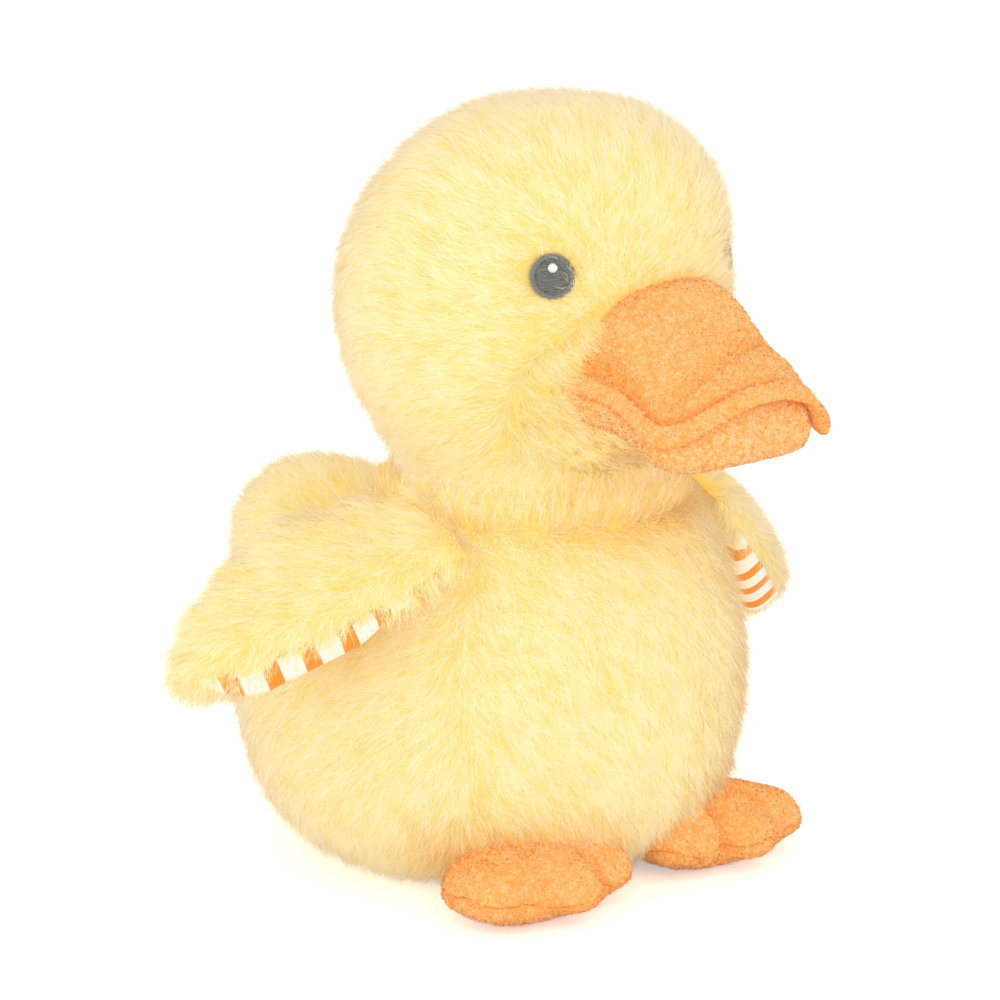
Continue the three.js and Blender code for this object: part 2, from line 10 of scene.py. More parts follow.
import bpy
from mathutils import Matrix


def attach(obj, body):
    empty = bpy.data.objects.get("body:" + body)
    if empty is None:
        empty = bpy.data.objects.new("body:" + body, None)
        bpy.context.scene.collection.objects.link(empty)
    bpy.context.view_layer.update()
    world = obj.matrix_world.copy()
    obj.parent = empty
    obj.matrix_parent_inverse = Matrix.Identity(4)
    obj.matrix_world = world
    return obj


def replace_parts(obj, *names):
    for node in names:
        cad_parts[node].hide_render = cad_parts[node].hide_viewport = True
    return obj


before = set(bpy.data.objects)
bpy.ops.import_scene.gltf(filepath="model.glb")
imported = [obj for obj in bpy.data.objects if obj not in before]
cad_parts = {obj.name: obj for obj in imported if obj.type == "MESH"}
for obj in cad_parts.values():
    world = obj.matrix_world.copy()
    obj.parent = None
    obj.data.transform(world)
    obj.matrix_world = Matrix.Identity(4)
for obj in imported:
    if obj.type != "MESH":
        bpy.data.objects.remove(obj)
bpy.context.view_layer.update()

# %% Tools of the trade: units, a seeded random source, and colours
import math

import bmesh
import bpy
import numpy as np
from mathutils import Vector

MM = 0.001  # the frame is in metres, and a toy is drawn in millimetres
RANDOM = np.random.default_rng(11)


def linear(hex_colour):
    """An sRGB hex colour as the linear RGBA that shaders use."""
    srgb = np.array([int(hex_colour[i : i + 2], 16) / 255 for i in (1, 3, 5)])
    light = np.where(srgb <= 0.04045, srgb / 12.92, ((srgb + 0.055) / 1.055) ** 2.4)
    return (*map(float, light), 1.0)


def add_object(name, data):
    made = bpy.data.objects.new(name, data)
    bpy.context.collection.objects.link(made)
    return made


# %% [markdown]
# The studio
#
# The toy stands on a white table in a white room. A product photographer lights such a soft thing with
# large diffusers and hardly any contrast, so the pile looks light and no hard shadow cuts it. The world
# gives the even light of the room. One broad lamp above the camera models the forms, a small low one opens
# the shade under the chin, two more light the sides, and the camera sees plain white behind.

# %% Camera, as far round and as high as in the photograph
VIEW_AZIMUTH, VIEW_ELEVATION = -43.7, 12.7
VIEW_TARGET = Vector((0.0008, 0, 0.1069))
VIEW_DISTANCE, LENS, SENSOR = 1.15, 138, 36


def aim(thing, azimuth, elevation, distance):
    """Put a camera or a lamp round the toy, at an azimuth and elevation in degrees, and aim it."""
    a, e = math.radians(azimuth), math.radians(elevation)
    out = Vector((math.sin(a) * math.cos(e), -math.cos(a) * math.cos(e), math.sin(e)))
    thing.location = VIEW_TARGET + out * distance
    thing.rotation_euler = out.to_track_quat("Z", "Y").to_euler()


camera_data = bpy.data.cameras.new("camera")
camera_data.lens, camera_data.sensor_width = LENS, SENSOR
camera = add_object("camera", camera_data)
aim(camera, VIEW_AZIMUTH, VIEW_ELEVATION, VIEW_DISTANCE)
bpy.context.scene.camera = camera
bpy.context.scene.view_settings.view_transform = "Standard"
print("camera at", [round(v, 3) for v in camera.location])


# %% A helper that adds a shader node
def feed(tree, socket, source):
    """Give an input its value, or link it to a node's output: its first one, unless another is named."""
    if isinstance(source, bpy.types.Node):
        source = source.outputs[0]
    if isinstance(source, bpy.types.NodeSocket):
        tree.links.new(source, socket)
    else:
        socket.default_value = source


def add_node(tree, kind, *inputs, **settings):
    """Add a node. Its first inputs are given in their order, the others and its settings by name."""
    node = tree.nodes.new("ShaderNode" + kind)
    for socket, source in zip(node.inputs, inputs):
        feed(tree, socket, source)
    for key, value in settings.items():
        if hasattr(node, key):
            setattr(node, key, value)
        else:
            feed(tree, node.inputs[key.replace("_", " ")], value)
    return node


# %% World and lamps
ROOM_LIGHT = 0.92  # the light that comes evenly from the white room, warmed by its floor
WHITE = linear("#FFFFFF")
LAMPS = {  # azimuth and elevation in degrees, distance and width in metres, watts
    "key_diffuser": (-38, 38, 1.4, 1.5, 2.3),
    "low_reflector": (-36, 4, 1.3, 0.45, 1.9),
    "left_diffuser": (-130, 25, 1.6, 1.2, 3.5),
    "right_diffuser": (60, 20, 1.6, 1.2, 2.6),
}


def straight_rays(tree):
    """1 for rays from the camera and for those that a gloss or a glass sends on, 0 for the rest."""
    rays = add_node(tree, "LightPath").outputs
    either = add_node(tree, "Math", rays["Is Camera Ray"], rays["Is Glossy Ray"], operation="MAXIMUM")
    return add_node(tree, "Math", either, rays["Is Transmission Ray"], operation="MAXIMUM")


world = bpy.data.worlds.new("white_room")
bpy.context.scene.world = world
world.use_nodes = True
room = world.node_tree
room.nodes.clear()
lit = add_node(room, "Background", linear("#FFF8EE"), ROOM_LIGHT)
seen = add_node(room, "Background", WHITE, 1)
add_node(room, "OutputWorld", add_node(room, "MixShader", straight_rays(room), lit, seen))

for lamp_name, (azimuth, elevation, distance, width, watts) in LAMPS.items():
    lamp = bpy.data.lights.new(lamp_name, "AREA")
    lamp.size, lamp.energy = width, watts
    aim(add_object(lamp_name, lamp), azimuth, elevation, distance)


# %% The white table top
def material(name):
    """A new material with an empty tree, and the tree."""
    made = bpy.data.materials.new(name)
    made.use_nodes = True
    made.node_tree.nodes.clear()
    return made, made.node_tree


TABLE_SIZE, TABLE_DROP = 8.0, 0.0004  # metres; the drop keeps the table clear of the resting faces
TABLE_GLOW = 0.4  # what the camera sees added to it, so that only the shade at the toy's foot shows

table_paint, tree = material("white_table_paint")
matt = add_node(tree, "BsdfDiffuse", WHITE)
glow = add_node(tree, "Emission", WHITE, TABLE_GLOW)
glowing = add_node(tree, "AddShader", add_node(tree, "BsdfDiffuse", WHITE), glow)
add_node(tree, "OutputMaterial", add_node(tree, "MixShader", straight_rays(tree), matt, glowing))

half = TABLE_SIZE / 2
table_mesh = bpy.data.meshes.new("table_top")
table_corners = [(x, y, -TABLE_DROP) for x, y in ((-half, -half), (half, -half), (half, half), (-half, half))]
table_mesh.from_pydata(table_corners, [], [(0, 1, 2, 3)])
table_mesh.materials.append(table_paint)
table_top = add_object("table_top", table_mesh)
print("table", TABLE_SIZE, "m")

# %% [markdown]
# Finishes
#
# The duck is sewn from four cloths. Its coat is a minky-like fur fabric: fine polyester fibres, about 8 mm
# long, knitted into a backing and brushed one way. Polyester has an index of refraction near 1.6, but a pile
# scatters light so much that it looks quite matt, with a pale sheen where fibres are seen end on. A dyed
# pile is never quite one colour, so the blades are dealt three tints at random, each its own piece with its
# own material. By their lengths the tints also paint light and shade: fibres deep down look fuller in their
# shade, so the short blades take the deep tint, and the tips catch the light, so the long blades take the
# pale tint, a painted highlight. In a crease the light passes through many fibres before it comes out again,
# and each takes some blue from it: that warmer shade is painted too, as a fourth, darker tint that stands
# there.
# Bill and feet are a short terry velour in orange, the wings are lined with a woven stripe, and the eyes are
# satin stitch in rayon thread, which shines along its length.

# %% Fur and terry
POLYESTER_IOR = 1.57


def pile_finish(name, colour, sheen=0.9, sheen_colour="#FFEEDC"):
    """Fibres of a pile: matt, with the soft sheen of many thin fibres."""
    made, tree = material(name)
    fibre = add_node(
        tree, "BsdfPrincipled", linear(colour), Roughness=0.9, IOR=POLYESTER_IOR, Specular_IOR_Level=0.2,
        Sheen_Weight=sheen, Sheen_Roughness=0.45, Sheen_Tint=linear(sheen_colour),
    )
    add_node(tree, "OutputMaterial", fibre)
    return made


def terry_finish(name, colour, sheen=0.3):
    return pile_finish(name, colour, sheen, "#FFE6C8")


TINTS = {
    "long_pile_fur": {
        "deep": pile_finish("polyester_fur_deep", "#FFE580"),
        "mid": pile_finish("polyester_fur_mid", "#FFE98A"),
        "pale": pile_finish("polyester_fur_pale", "#FFF6D2"),
        # painted shade: a darker, warmer tint for the pile in creases
        "painted_shade": pile_finish("polyester_fur_in_a_crease", "#FFD27C", 0.3),
    },
    "terry": {
        "deep": terry_finish("terry_velour_deep", "#FDB668"),
        "mid": terry_finish("terry_velour_mid", "#FEC67C"),
        "pale": terry_finish("terry_velour_pale", "#FFD69C"),
        # painted shade: a darker tint for the nap in creases
        "painted_shade": terry_finish("terry_velour_in_a_crease", "#F8943E", 0.1),
    },
}


def knitted_backing(name, dark, light, stitch_mm):
    """The knitted ground that a pile stands in: small bumps one stitch apart, darker between them as painted
    shade, with a random tone of the dye.
    """
    made, tree = material(name)
    place = add_node(tree, "TexCoord").outputs["Object"]
    knit = add_node(tree, "TexVoronoi", place, Scale=1 / (stitch_mm * MM)).outputs["Distance"]
    dye = add_node(tree, "TexNoise", place, Scale=1 / (12 * MM), Detail=3).outputs["Fac"]
    ramp = add_node(tree, "ValToRGB", add_node(tree, "Math", knit, dye, operation="MULTIPLY"))
    # painted shade: the ramp darkens the colour between the stitches
    bumpy, deep = ramp.color_ramp.elements
    bumpy.color, deep.color, deep.position = linear(light), linear(dark), 0.45
    bump = add_node(tree, "Bump", Height=knit, Strength=0.5, Distance=0.3 * MM, invert=True)
    cloth = add_node(
        tree, "BsdfPrincipled", ramp, Normal=bump, Roughness=0.95, IOR=POLYESTER_IOR, Specular_IOR_Level=0.15
    )
    add_node(tree, "OutputMaterial", cloth)
    return made


CLOTHS = {
    "long_pile_fur": knitted_backing("knitted_fur_backing", "#F9D672", "#FDE38E", 1.1),
    "terry": knitted_backing("knitted_terry_ground", "#FAA655", "#FDB86C", 0.8),
}
print("finishes", len(bpy.data.materials))

# %% [markdown]
# Turned forms
#
# The stuffed body and head are both near to turned forms: an outline spun about an upright axis that leans
# a little forward. A lathe modifier could do it, but writing out the grid of points keeps each point's
# place known, which the pile needs later. The backing cloth lies PILE below the outline that the packed
# solids give, since the solids mean the brushed tips of the pile.

# %% Outlines in millimetres
PILE = 5.6  # how deep the backing lies under the tips of the pile
BODY_RADIUS, BODY_HEIGHT, BODY_BACK = 79, 120, 3.5  # BACK: how far back its base lies
HEAD_RADIUS, HEAD_HEIGHT, HEAD_MIDDLE = 60, 113.5, 52
NECK_FORWARD, BROW = 14.5, 10  # how far forward the neck lies, and the crown past it
NECK_BALL = np.array([0, -NECK_FORWARD, BODY_HEIGHT + HEAD_MIDDLE])
NECK_BALL_RADIUS = math.hypot(42, HEAD_MIDDLE)

BODY_OUTLINE = [
    (0.28, 1.09), (0.47, 1.04), (0.6, 0.965), (0.735, 0.855), (0.87, 0.715), (0.96, 0.585), (1, 0.45),
    (0.985, 0.33), (0.935, 0.21), (0.86, 0.12), (0.765, 0.053), (0.66, 0.012), (0.5, -0.004), (0, -0.004),
]
HEAD_OUTLINE = [
    (0, 1), (0.36, 0.975), (0.6, 0.915), (0.77, 0.835), (0.9, 0.73), (0.975, 0.61), (1, 0.475),
    (0.975, 0.34), (0.905, 0.215), (0.805, 0.115), (0.705, 0.02), (0.64, -0.08), (0.42, -0.24), (0, -0.28),
]


def smooth(t):
    t = np.clip(t, 0, 1)
    return t * t * (3 - 2 * t)


def fade(value, start, run):
    """0 up to a start, and from there smoothly up to 1 over a run."""
    return smooth((value - start) / run)


def mix(low, high, t):
    return low + (high - low) * t


def bell(distance, width):
    """1 in the middle, and little beyond a width from it."""
    return np.exp(-((distance / width) ** 2))


def power(value, exponent):
    return np.sign(value) * np.abs(value) ** exponent


# %% Curves and leaning forms
def read_table(table, place):
    """A table of pairs read smoothly at any place."""
    at, value = np.array(table).T
    after = np.clip(np.searchsorted(at, place), 1, len(at) - 1)
    t = smooth((place - at[after - 1]) / (at[after] - at[after - 1]))
    return mix(value[after - 1], value[after], t)


def spline(points, count):
    """A smooth curve through points, as count points evenly spaced along it."""
    ends = np.vstack([points[:1], points, points[-1:]])
    steps = np.linspace(0, len(points) - 1, 40 * len(points))
    at = np.minimum(steps.astype(int), len(points) - 2)
    t = (steps - at)[:, None]
    p0, p1, p2, p3 = (ends[at + k] for k in range(4))
    v1, v2 = (p2 - p0) / 2, (p3 - p1) / 2
    dense = (2 * p1 - 2 * p2 + v1 + v2) * t**3 + (-3 * p1 + 3 * p2 - 2 * v1 - v2) * t**2 + v1 * t + p1
    run = np.concatenate([[0], np.cumsum(np.linalg.norm(np.diff(dense, axis=0), axis=1))])
    even = np.linspace(0, run[-1], count)
    return np.column_stack([np.interp(even, run, dense[:, k]) for k in range(dense.shape[1])])


def lean_share(height_share):
    return fade(height_share, 0.4, 0.6)


def body_lean(z):
    return mix(BODY_BACK, -NECK_FORWARD, lean_share(z / BODY_HEIGHT))


def head_lean(z):
    return -NECK_FORWARD - BROW * lean_share((z - BODY_HEIGHT) / HEAD_HEIGHT)


def inset(outline, depth):
    """An outline of (radius, height) moved inwards by a depth."""
    along = np.gradient(outline, axis=0)
    along /= np.linalg.norm(along, axis=1)[:, None]
    moved = outline - depth * np.column_stack([-along[:, 1], along[:, 0]])
    moved[:, 0] = np.maximum(moved[:, 0], 0)
    return moved


print("outlines", len(BODY_OUTLINE), "and", len(HEAD_OUTLINE), "points")

# %% Meshes from arrays
WELD = 0.02  # millimetres; points closer than this are one


def circle(count):
    """Even angles all the way round."""
    return np.linspace(0, 2 * np.pi, count, endpoint=False)


def grid(rows, around):
    """How far down each row of a grid lies, from 0 to 1, and the angles round it."""
    return np.linspace(0, 1, rows)[:, None], circle(around)


def as_points(x, y, z):
    return np.stack(np.broadcast_arrays(x, y, z), axis=-1).reshape(-1, 3)


def quads(rows, around):
    """The faces of a grid of rows that each close round."""
    row, column = np.meshgrid(np.arange(rows - 1), np.arange(around), indexing="ij")
    a = row * around + column
    b = row * around + (column + 1) % around
    return np.stack([a, a + around, b + around, b], axis=-1).reshape(-1, 4)


def new_mesh(name, points, faces):
    """A mesh from points in millimetres."""
    data = bpy.data.meshes.new(name)
    data.from_pydata((points * MM).tolist(), [], faces)
    return data


def add_piece(data, finish, body):
    """A mesh as a piece of the toy, which rides on a body."""
    data.materials.append(finish)
    piece = add_object(data.name, data)
    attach(piece, body)
    return piece


def add_stuffed(data, body, slot_name, fill, *nodes):
    """A stuffed piece of one of the cloths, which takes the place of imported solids."""
    data.shade_smooth()
    piece = add_piece(data, CLOTHS[slot_name], body)
    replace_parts(piece, *nodes)
    return piece


def sew(name, points, around, body, slot_name, fill, *nodes):
    """A closed stuffed piece from rows of points, so many around."""
    data = new_mesh(name, points, quads(len(points) // around, around).tolist())
    build = bmesh.new()
    build.from_mesh(data)
    bmesh.ops.remove_doubles(build, verts=build.verts, dist=WELD * MM)
    bmesh.ops.recalc_face_normals(build, faces=build.faces)
    build.to_mesh(data)
    build.free()
    return add_stuffed(data, body, slot_name, fill, *nodes)


def revolve(outline, lean, around):
    """Points of an outline of (radius, height) spun about the leaning upright axis."""
    turn = circle(around)
    radius, height = outline[:, :1], outline[:, 1:]
    return as_points(radius * np.cos(turn), radius * np.sin(turn) + lean(height), height)


print("mesh tools ready")

# %% [markdown]
# The body's and head's backing
#
# On the real toy these are panels of fur fabric sewn inside out, turned and stuffed. The head sits in a
# hollow at the neck, where its own round underside meets the body, so the two can turn against each other.
# Both are closed forms here too: the body's outline ends in that hollow, and the head's in its underside.

# %% Body and head backing
AROUND, ALONG, BALL_ROWS = 160, 110, 14
BALL_CLEAR = 0.8  # how far each form stays from the ball that lies between them


def ball_below(start_radius, ball_radius):
    """The outline of the neck ball's underside, from a radius in to its lowest point."""
    angle = np.linspace(math.asin(start_radius / ball_radius), 0, BALL_ROWS)
    return np.column_stack([ball_radius * np.sin(angle), NECK_BALL[2] - ball_radius * np.cos(angle)])


def from_ball(outline):
    return np.hypot(outline[:, 0], outline[:, 1] - NECK_BALL[2])


body_outline = spline(np.array([(r * BODY_RADIUS, h * BODY_HEIGHT) for r, h in BODY_OUTLINE]), ALONG)
body_inner = inset(body_outline, PILE)
socket_radius = NECK_BALL_RADIUS + BALL_CLEAR
body_inner = body_inner[from_ball(body_inner) > socket_radius]
socket = ball_below(body_inner[0, 0], socket_radius)[::-1]
body_inner = np.vstack([socket[:-1], body_inner])
body_inner[:, 1] = np.maximum(body_inner[:, 1], 2.0)

head_outline = spline(
    np.array([(r * HEAD_RADIUS, BODY_HEIGHT + h * HEAD_HEIGHT) for r, h in HEAD_OUTLINE]), ALONG
)
head_inner = inset(head_outline, PILE)
ball_radius = NECK_BALL_RADIUS - BALL_CLEAR
above = (from_ball(head_inner) < ball_radius) | (head_inner[:, 1] > NECK_BALL[2])
head_inner = head_inner[above & (head_inner[:, 1] > BODY_HEIGHT - 4)]
head_inner = np.vstack([head_inner, ball_below(head_inner[-1, 0], ball_radius)[1:]])

body_backing = sew(
    "body_backing", revolve(body_inner, body_lean, AROUND), AROUND,
    "body", "long_pile_fur", 0.9, "body_cover", "body_filling", "bean_bag",
)
head_backing = sew(
    "head_backing", revolve(head_inner, head_lean, AROUND), AROUND,
    "head", "long_pile_fur", 0.95, "head_cover", "head_filling",
)
print("backing", len(body_backing.data.polygons), len(head_backing.data.polygons))

# %% [markdown]
# The pile
#
# Particle hair would be quick, but it can't be kept as a mesh, and hair curves can't be measured or exported
# with the toy. So each fibre bundle is a thin blade of three segments that tapers to a point: it stands up
# from the backing and bends over the way it is brushed. Fur fabric clings together in small tufts, so tufts
# are placed first and each gets a dozen blades or so that lean towards its tip.
# The blades' normals are turned towards the cloth's own normal. Then a blade is lit like the surface that it
# is part of, which is how a mass of fine fibres looks. A real fibre is 0.02 mm thick and lets light through,
# so a blade ten times as wide would cast far too deep a shade: the blades cast none, and the cloth under
# them shades the creases between the toy's forms.


# %% Sampling a cloth's surface
def read_all(items, field, width=3, kind=float):
    """One field of all vertices, corners or triangles, as rows of a width."""
    values = np.empty(width * len(items), kind)
    items.foreach_get(field, values)
    return values.reshape(-1, width)


def surface_of(piece):
    """A piece's points, normals and triangles in millimetres."""
    data = piece.data
    data.calc_loop_triangles()
    triangles = read_all(data.loop_triangles, "vertices", kind=int)
    return read_all(data.vertices, "co") / MM, read_all(data.vertices, "normal"), triangles


def unit(vectors):
    return vectors / np.maximum(np.linalg.norm(vectors, axis=-1, keepdims=True), 1e-9)


def scatter(piece, per_mm2, keep):
    """Random places on a piece with their normals, at a density, where keep allows."""
    points, normals, corners = surface_of(piece)
    a, b, c = (points[corners[:, k]] for k in range(3))
    area = np.linalg.norm(np.cross(b - a, c - a), axis=1) / 2
    count = int(area.sum() * per_mm2)
    on = np.searchsorted(np.cumsum(area) / area.sum(), RANDOM.random(count))
    on = np.minimum(on, len(area) - 1)
    u, v = RANDOM.random((2, count, 1))
    flip = (u + v) > 1
    u, v = np.where(flip, 1 - u, u), np.where(flip, 1 - v, v)
    places = a[on] + u * (b - a)[on] + v * (c - a)[on]
    na, nb, nc = (normals[corners[on, k]] for k in range(3))
    facing = unit(na + u * (nb - na) + v * (nc - na))
    kept = keep(places, facing)
    return places[kept], facing[kept]


def turn_about(vectors, axes, angles):
    """Vectors turned about unit axes that are square to them."""
    angles = np.asarray(angles)[..., None]
    return vectors * np.cos(angles) + np.cross(axes, vectors) * np.sin(angles)


def along_cloth(direction, up):
    """The way along the cloth that is nearest to a direction."""
    return unit(direction - up * np.sum(direction * up, axis=1, keepdims=True))


# %% Blades as one mesh
def blade_mesh(name, rows, widths, facing):
    """Thin blades as one mesh. rows is (blades, steps, 3); the last step is the blade's point."""
    count, steps, _ = rows.shape
    left, right = rows[:, :-1] - widths / 2, rows[:, :-1] + widths / 2
    points = np.concatenate([np.stack([left, right], axis=2).reshape(count, -1, 3), rows[:, -1:]], axis=1)
    each = points.shape[1]
    pattern = []
    for low in range(0, 2 * (steps - 2), 2):
        pattern += [(low, low + 3, low + 1), (low, low + 2, low + 3)]
    pattern.append((each - 3, each - 1, each - 2))
    corners = (np.arange(count)[:, None, None] * each + np.array(pattern)[None]).reshape(-1)
    normals = np.concatenate([np.repeat(facing[:, :-1], 2, axis=1), facing[:, -1:]], axis=1).reshape(-1, 3)
    data = bpy.data.meshes.new(name)
    data.vertices.add(count * each)
    data.vertices.foreach_set("co", (points.reshape(-1) * MM).astype(np.float32))
    data.loops.add(len(corners))
    data.loops.foreach_set("vertex_index", corners.astype(np.int32))
    data.polygons.add(len(corners) // 3)
    data.polygons.foreach_set("loop_start", np.arange(0, len(corners), 3, dtype=np.int32))
    data.update(calc_edges=True)
    data.polygons.foreach_set("use_smooth", np.ones(len(corners) // 3, bool))
    data.normals_split_custom_set_from_vertices(normals.astype(np.float32))
    return data


# %% The fur's tufts and blades, and how they stray
MOST_BLADES = 39000  # in one piece, so that its mesh stays light to handle
TABLE_CLEAR = 0.25  # millimetres; the pile is pressed flat where the toy sits
ROOT_DEPTH = 0.3  # how deep a blade is rooted in the cloth
TUFT_HEADING, TUFT_LIFT = 0.32, 7  # how far tufts stray: radians round the brushed way, degrees up
BLADE_LIFT, BLADE_ROLL, BLADE_WANDER = 6, 0.5, 0.12  # and blades in a tuft: degrees, radians, millimetres
TUFT_LENGTHS, BLADE_LENGTHS = (0.85, 1.1), (0.8, 1.1)  # from the shortest to the longest, as shares
WIDTH_PROFILE = (0.75, 1.0, 0.75)  # a blade's width at each step, as a share of its widest
GATHER = 0.6  # how far a tuft's blades come together at its tip
STEEP, STEEP_RUN, STEEP_LOSS = 26, 12, 0.45  # steep tufts are lit less like the cloth, more as they stand
MOST_PAINTED_SHADE, PAINTED_SHADE_REACH = 0.9, 0.95  # the greatest share of blades in the painted crease shade, and their share of the length
FUR = dict(
    # besides a random tone, painted light and shade: short deep blades stand for the shade down in the pile,
    # long pale ones for light on the tips
    tints=[("deep", 0.3, 0.8), ("mid", 0.41, 0.97), ("pale", 0.29, 1.22)],  # share of blades, and of length
    length=8.2, per_mm2=0.38, blades=14, spread=1.0, width=0.14, lifts=(54, 31, 10), stray=0.3, soft=0.93,
)


# %% Growing a pile
def no_change(places):
    return np.zeros(len(places))


def grow_pile(name, cloth, body, slot_name, comb, keep, tints, length, per_mm2, blades, spread, width, lifts,
              stray, soft, trim=None, rise=no_change, crease=no_change):
    """Tufts of blades all over a cloth. comb gives the brushed direction at each place, trim the share of
    the full length, rise how many degrees more it stands up, and crease the share of blades in the darker
    tint of painted crease shade. lifts are the degrees that a blade's segments stand up, spread and stray how
    far its blades stand and turn from a tuft, and soft how nearly they are lit like the cloth. Each tint
    takes its share of the blades."""
    roots, up = scatter(cloth, per_mm2, keep)
    tufts = len(roots)
    brushed = turn_about(along_cloth(comb(roots, up), up), up, RANDOM.normal(0, TUFT_HEADING, tufts))
    side = np.cross(up, brushed)
    tuft_length = length * RANDOM.uniform(*TUFT_LENGTHS, tufts) * (trim(roots) if trim else 1)
    raised = rise(roots)
    tuft_lift = RANDOM.normal(0, TUFT_LIFT, tufts) + raised
    tuft_soft = soft * (1 - STEEP_LOSS * np.clip((raised - STEEP) / STEEP_RUN, 0, 1))
    # painted shade: the share of each tuft's blades that take the darker crease tint
    painted_shade = np.clip(crease(roots), 0, MOST_PAINTED_SHADE)
    shares = np.array([share for _, share, _ in tints]) * (1 - painted_shade)[:, None]
    counts = RANDOM.multinomial(blades, np.column_stack([shares, 1 - shares.sum(axis=1)]))
    steps = len(lifts) + 1
    gather = 1 - GATHER * np.linspace(0, 1, steps) ** 1.5
    pieces = []
    for (tint, _, reach), number in zip([*tints, ("painted_shade", None, PAINTED_SHADE_REACH)], counts.T):
        owner = np.repeat(np.arange(tufts), number)
        count = len(owner)
        if not count:
            continue
        n, c, s = up[owner], brushed[owner], side[owner]
        offset = RANDOM.normal(0, spread, (2, count, 1))
        offset = c * offset[0] + s * offset[1]
        angle = RANDOM.normal(0, stray, count)
        c, s = turn_about(c, n, angle), turn_about(s, n, angle)
        long = (tuft_length[owner] * RANDOM.uniform(*BLADE_LENGTHS, count) * reach)[:, None]
        rows, facing = np.empty((2, count, steps, 3))
        widths = np.empty((count, steps - 1, 3))
        rows[:, 0] = roots[owner] - n * ROOT_DEPTH
        blade_lift = tuft_lift[owner] + RANDOM.normal(0, BLADE_LIFT, count)
        roll = RANDOM.normal(0, BLADE_ROLL, count)[:, None]
        for step, lift in enumerate(lifts):
            tilt = np.radians(lift + blade_lift)[:, None]
            going = c * np.cos(tilt) + n * np.sin(tilt)
            face = n * np.cos(tilt) - c * np.sin(tilt)
            rows[:, step + 1] = rows[:, step] + going * long / len(lifts)
            across = s * np.cos(roll) + face * np.sin(roll)
            widths[:, step] = across * width * WIDTH_PROFILE[step]
            own = face * np.cos(roll) - s * np.sin(roll)
            facing[:, step] = unit(mix(own, n, tuft_soft[owner][:, None]))
        facing[:, -1] = facing[:, -2]
        rows += offset[:, None] * gather[None, :, None]
        wander = RANDOM.normal(0, BLADE_WANDER, (count, steps - 1, 3))
        rows[:, 1:] += wander * np.arange(1, steps)[None, :, None]
        rows[..., 2] = np.maximum(rows[..., 2], TABLE_CLEAR)
        for part, first in enumerate(range(0, count, MOST_BLADES)):
            cut = slice(first, first + MOST_BLADES)
            label = f"{name}_{tint}" + (f"_{part + 1}" if count > MOST_BLADES else "")
            data = blade_mesh(label, rows[cut], widths[cut], facing[cut])
            piece = add_piece(data, TINTS[slot_name][tint], body)
            piece.visible_shadow = piece.visible_diffuse = False
            pieces.append(piece)
    print(name, tufts, "tufts in", len(pieces), "pieces")


# %% How the coat is brushed
def swirl(places, size, strength):
    """A slow wander of the brushed direction, in radians, over patches of a size in millimetres."""
    x, y, z = (places / size).T
    return strength * (np.sin(x * 2.1 + 1.3 * np.sin(z * 1.7)) + np.sin(y * 2.3 + z * 1.9 + np.sin(x * 1.3)))


SEAM_TURN = 51  # degrees round from the front, where the front and side panels of the body are sewn
NECK_RIM = 106  # the height from which the body's pile stands up against the head's
NECK_SEAM = 118  # the lowest that the head's pile is rooted
BILL_HEART = np.array([0, -66, 143])  # the point inside the face that the head's pile is brushed away from
FOOT_APART, FOOT_TUCK = 36.8, 38  # where each heel seam lies, beside and in front of the origin
DOWN, LEVEL = np.array([0, 0, -1.0]), np.array([1, 1, 0])


def at_neck_rim(places):
    return fade(places[:, 2], NECK_RIM, 6)


def comb_body(places, up):
    """Down the body, and away from the two panel seams."""
    turn = np.degrees(np.arctan2(-places[:, 0], -(places[:, 1] - BODY_BACK / 2)))
    past = np.abs(turn) - SEAM_TURN
    away = np.where(past > 0, 1, -1) * np.exp(-np.abs(past) / 60) * 0.75 * np.clip(np.abs(past) / 5, 0, 1)
    away *= np.clip(np.abs(turn) / 12, 0, 1)
    round_ = unit(np.column_stack([-(places[:, 1] - BODY_BACK), places[:, 0], np.zeros(len(places))]))
    inward = -up * LEVEL * np.clip(-up[:, 2:] - 0.6, 0, 1) * 2
    direction = unit(DOWN + inward - round_ * (away * np.sign(turn))[:, None])
    direction = turn_about(direction, up, swirl(places, 20, 0.16))
    return mix(direction, unit((NECK_BALL - places) * LEVEL), at_neck_rim(places)[:, None])


def over_foot(places):
    """How near a place of the belly is to the top of a foot, where its pile hangs over."""
    x, y, z = places.T
    flat = np.hypot(np.abs(x) - FOOT_APART, (y + FOOT_TUCK + 12) * 0.8)
    return (1 - fade(flat, 24, 12)) * (1 - fade(z, 24, 12)) * fade(z, 8, 6)


def under_wing(places):
    """How near a place of the belly is to the crease below a wing's front edge, where the pile takes painted
    shade.
    """
    x, y, z = places.T
    below = 106 - 0.55 * (np.abs(x) - 50) - z
    return bell(below - 7, 9) * fade(np.abs(x), 44, 12) * smooth((20 - y) / 20)


# Painted shade: the share of blades in the darker crease tint at the neck's crease, on the belly over the
# feet, where it also stands for the orange light that they throw up, and under the wings.
def body_shade_share(places):
    return 0.5 * bell(places[:, 2] - 110, 5) + 0.55 * over_foot(places) + 0.3 * under_wing(places)


def rise_body(places):
    return 38 * at_neck_rim(places) + 24 * over_foot(places)


def comb_head(places, up):
    """Away from the bill, over the crown and down the back."""
    behind = fade(places[:, 1:2], -30, 60)
    direction = unit(places - BILL_HEART) + behind * 1.3 * DOWN + 0.25 * DOWN
    return turn_about(along_cloth(direction, up), up, swirl(places, 18, 0.14))


# %% Body pile
def on_body(places, up):
    """Clear of the neck hollow and of the pressed base."""
    reach = np.linalg.norm(places - NECK_BALL, axis=1)
    return (reach > NECK_BALL_RADIUS + 0.6) & ~((places[:, 2] < 3.0) & (up[:, 2] < -0.9))


grow_pile("body_pile", body_backing, "body", "long_pile_fur", comb_body, on_body,
          rise=rise_body, crease=body_shade_share, **FUR)

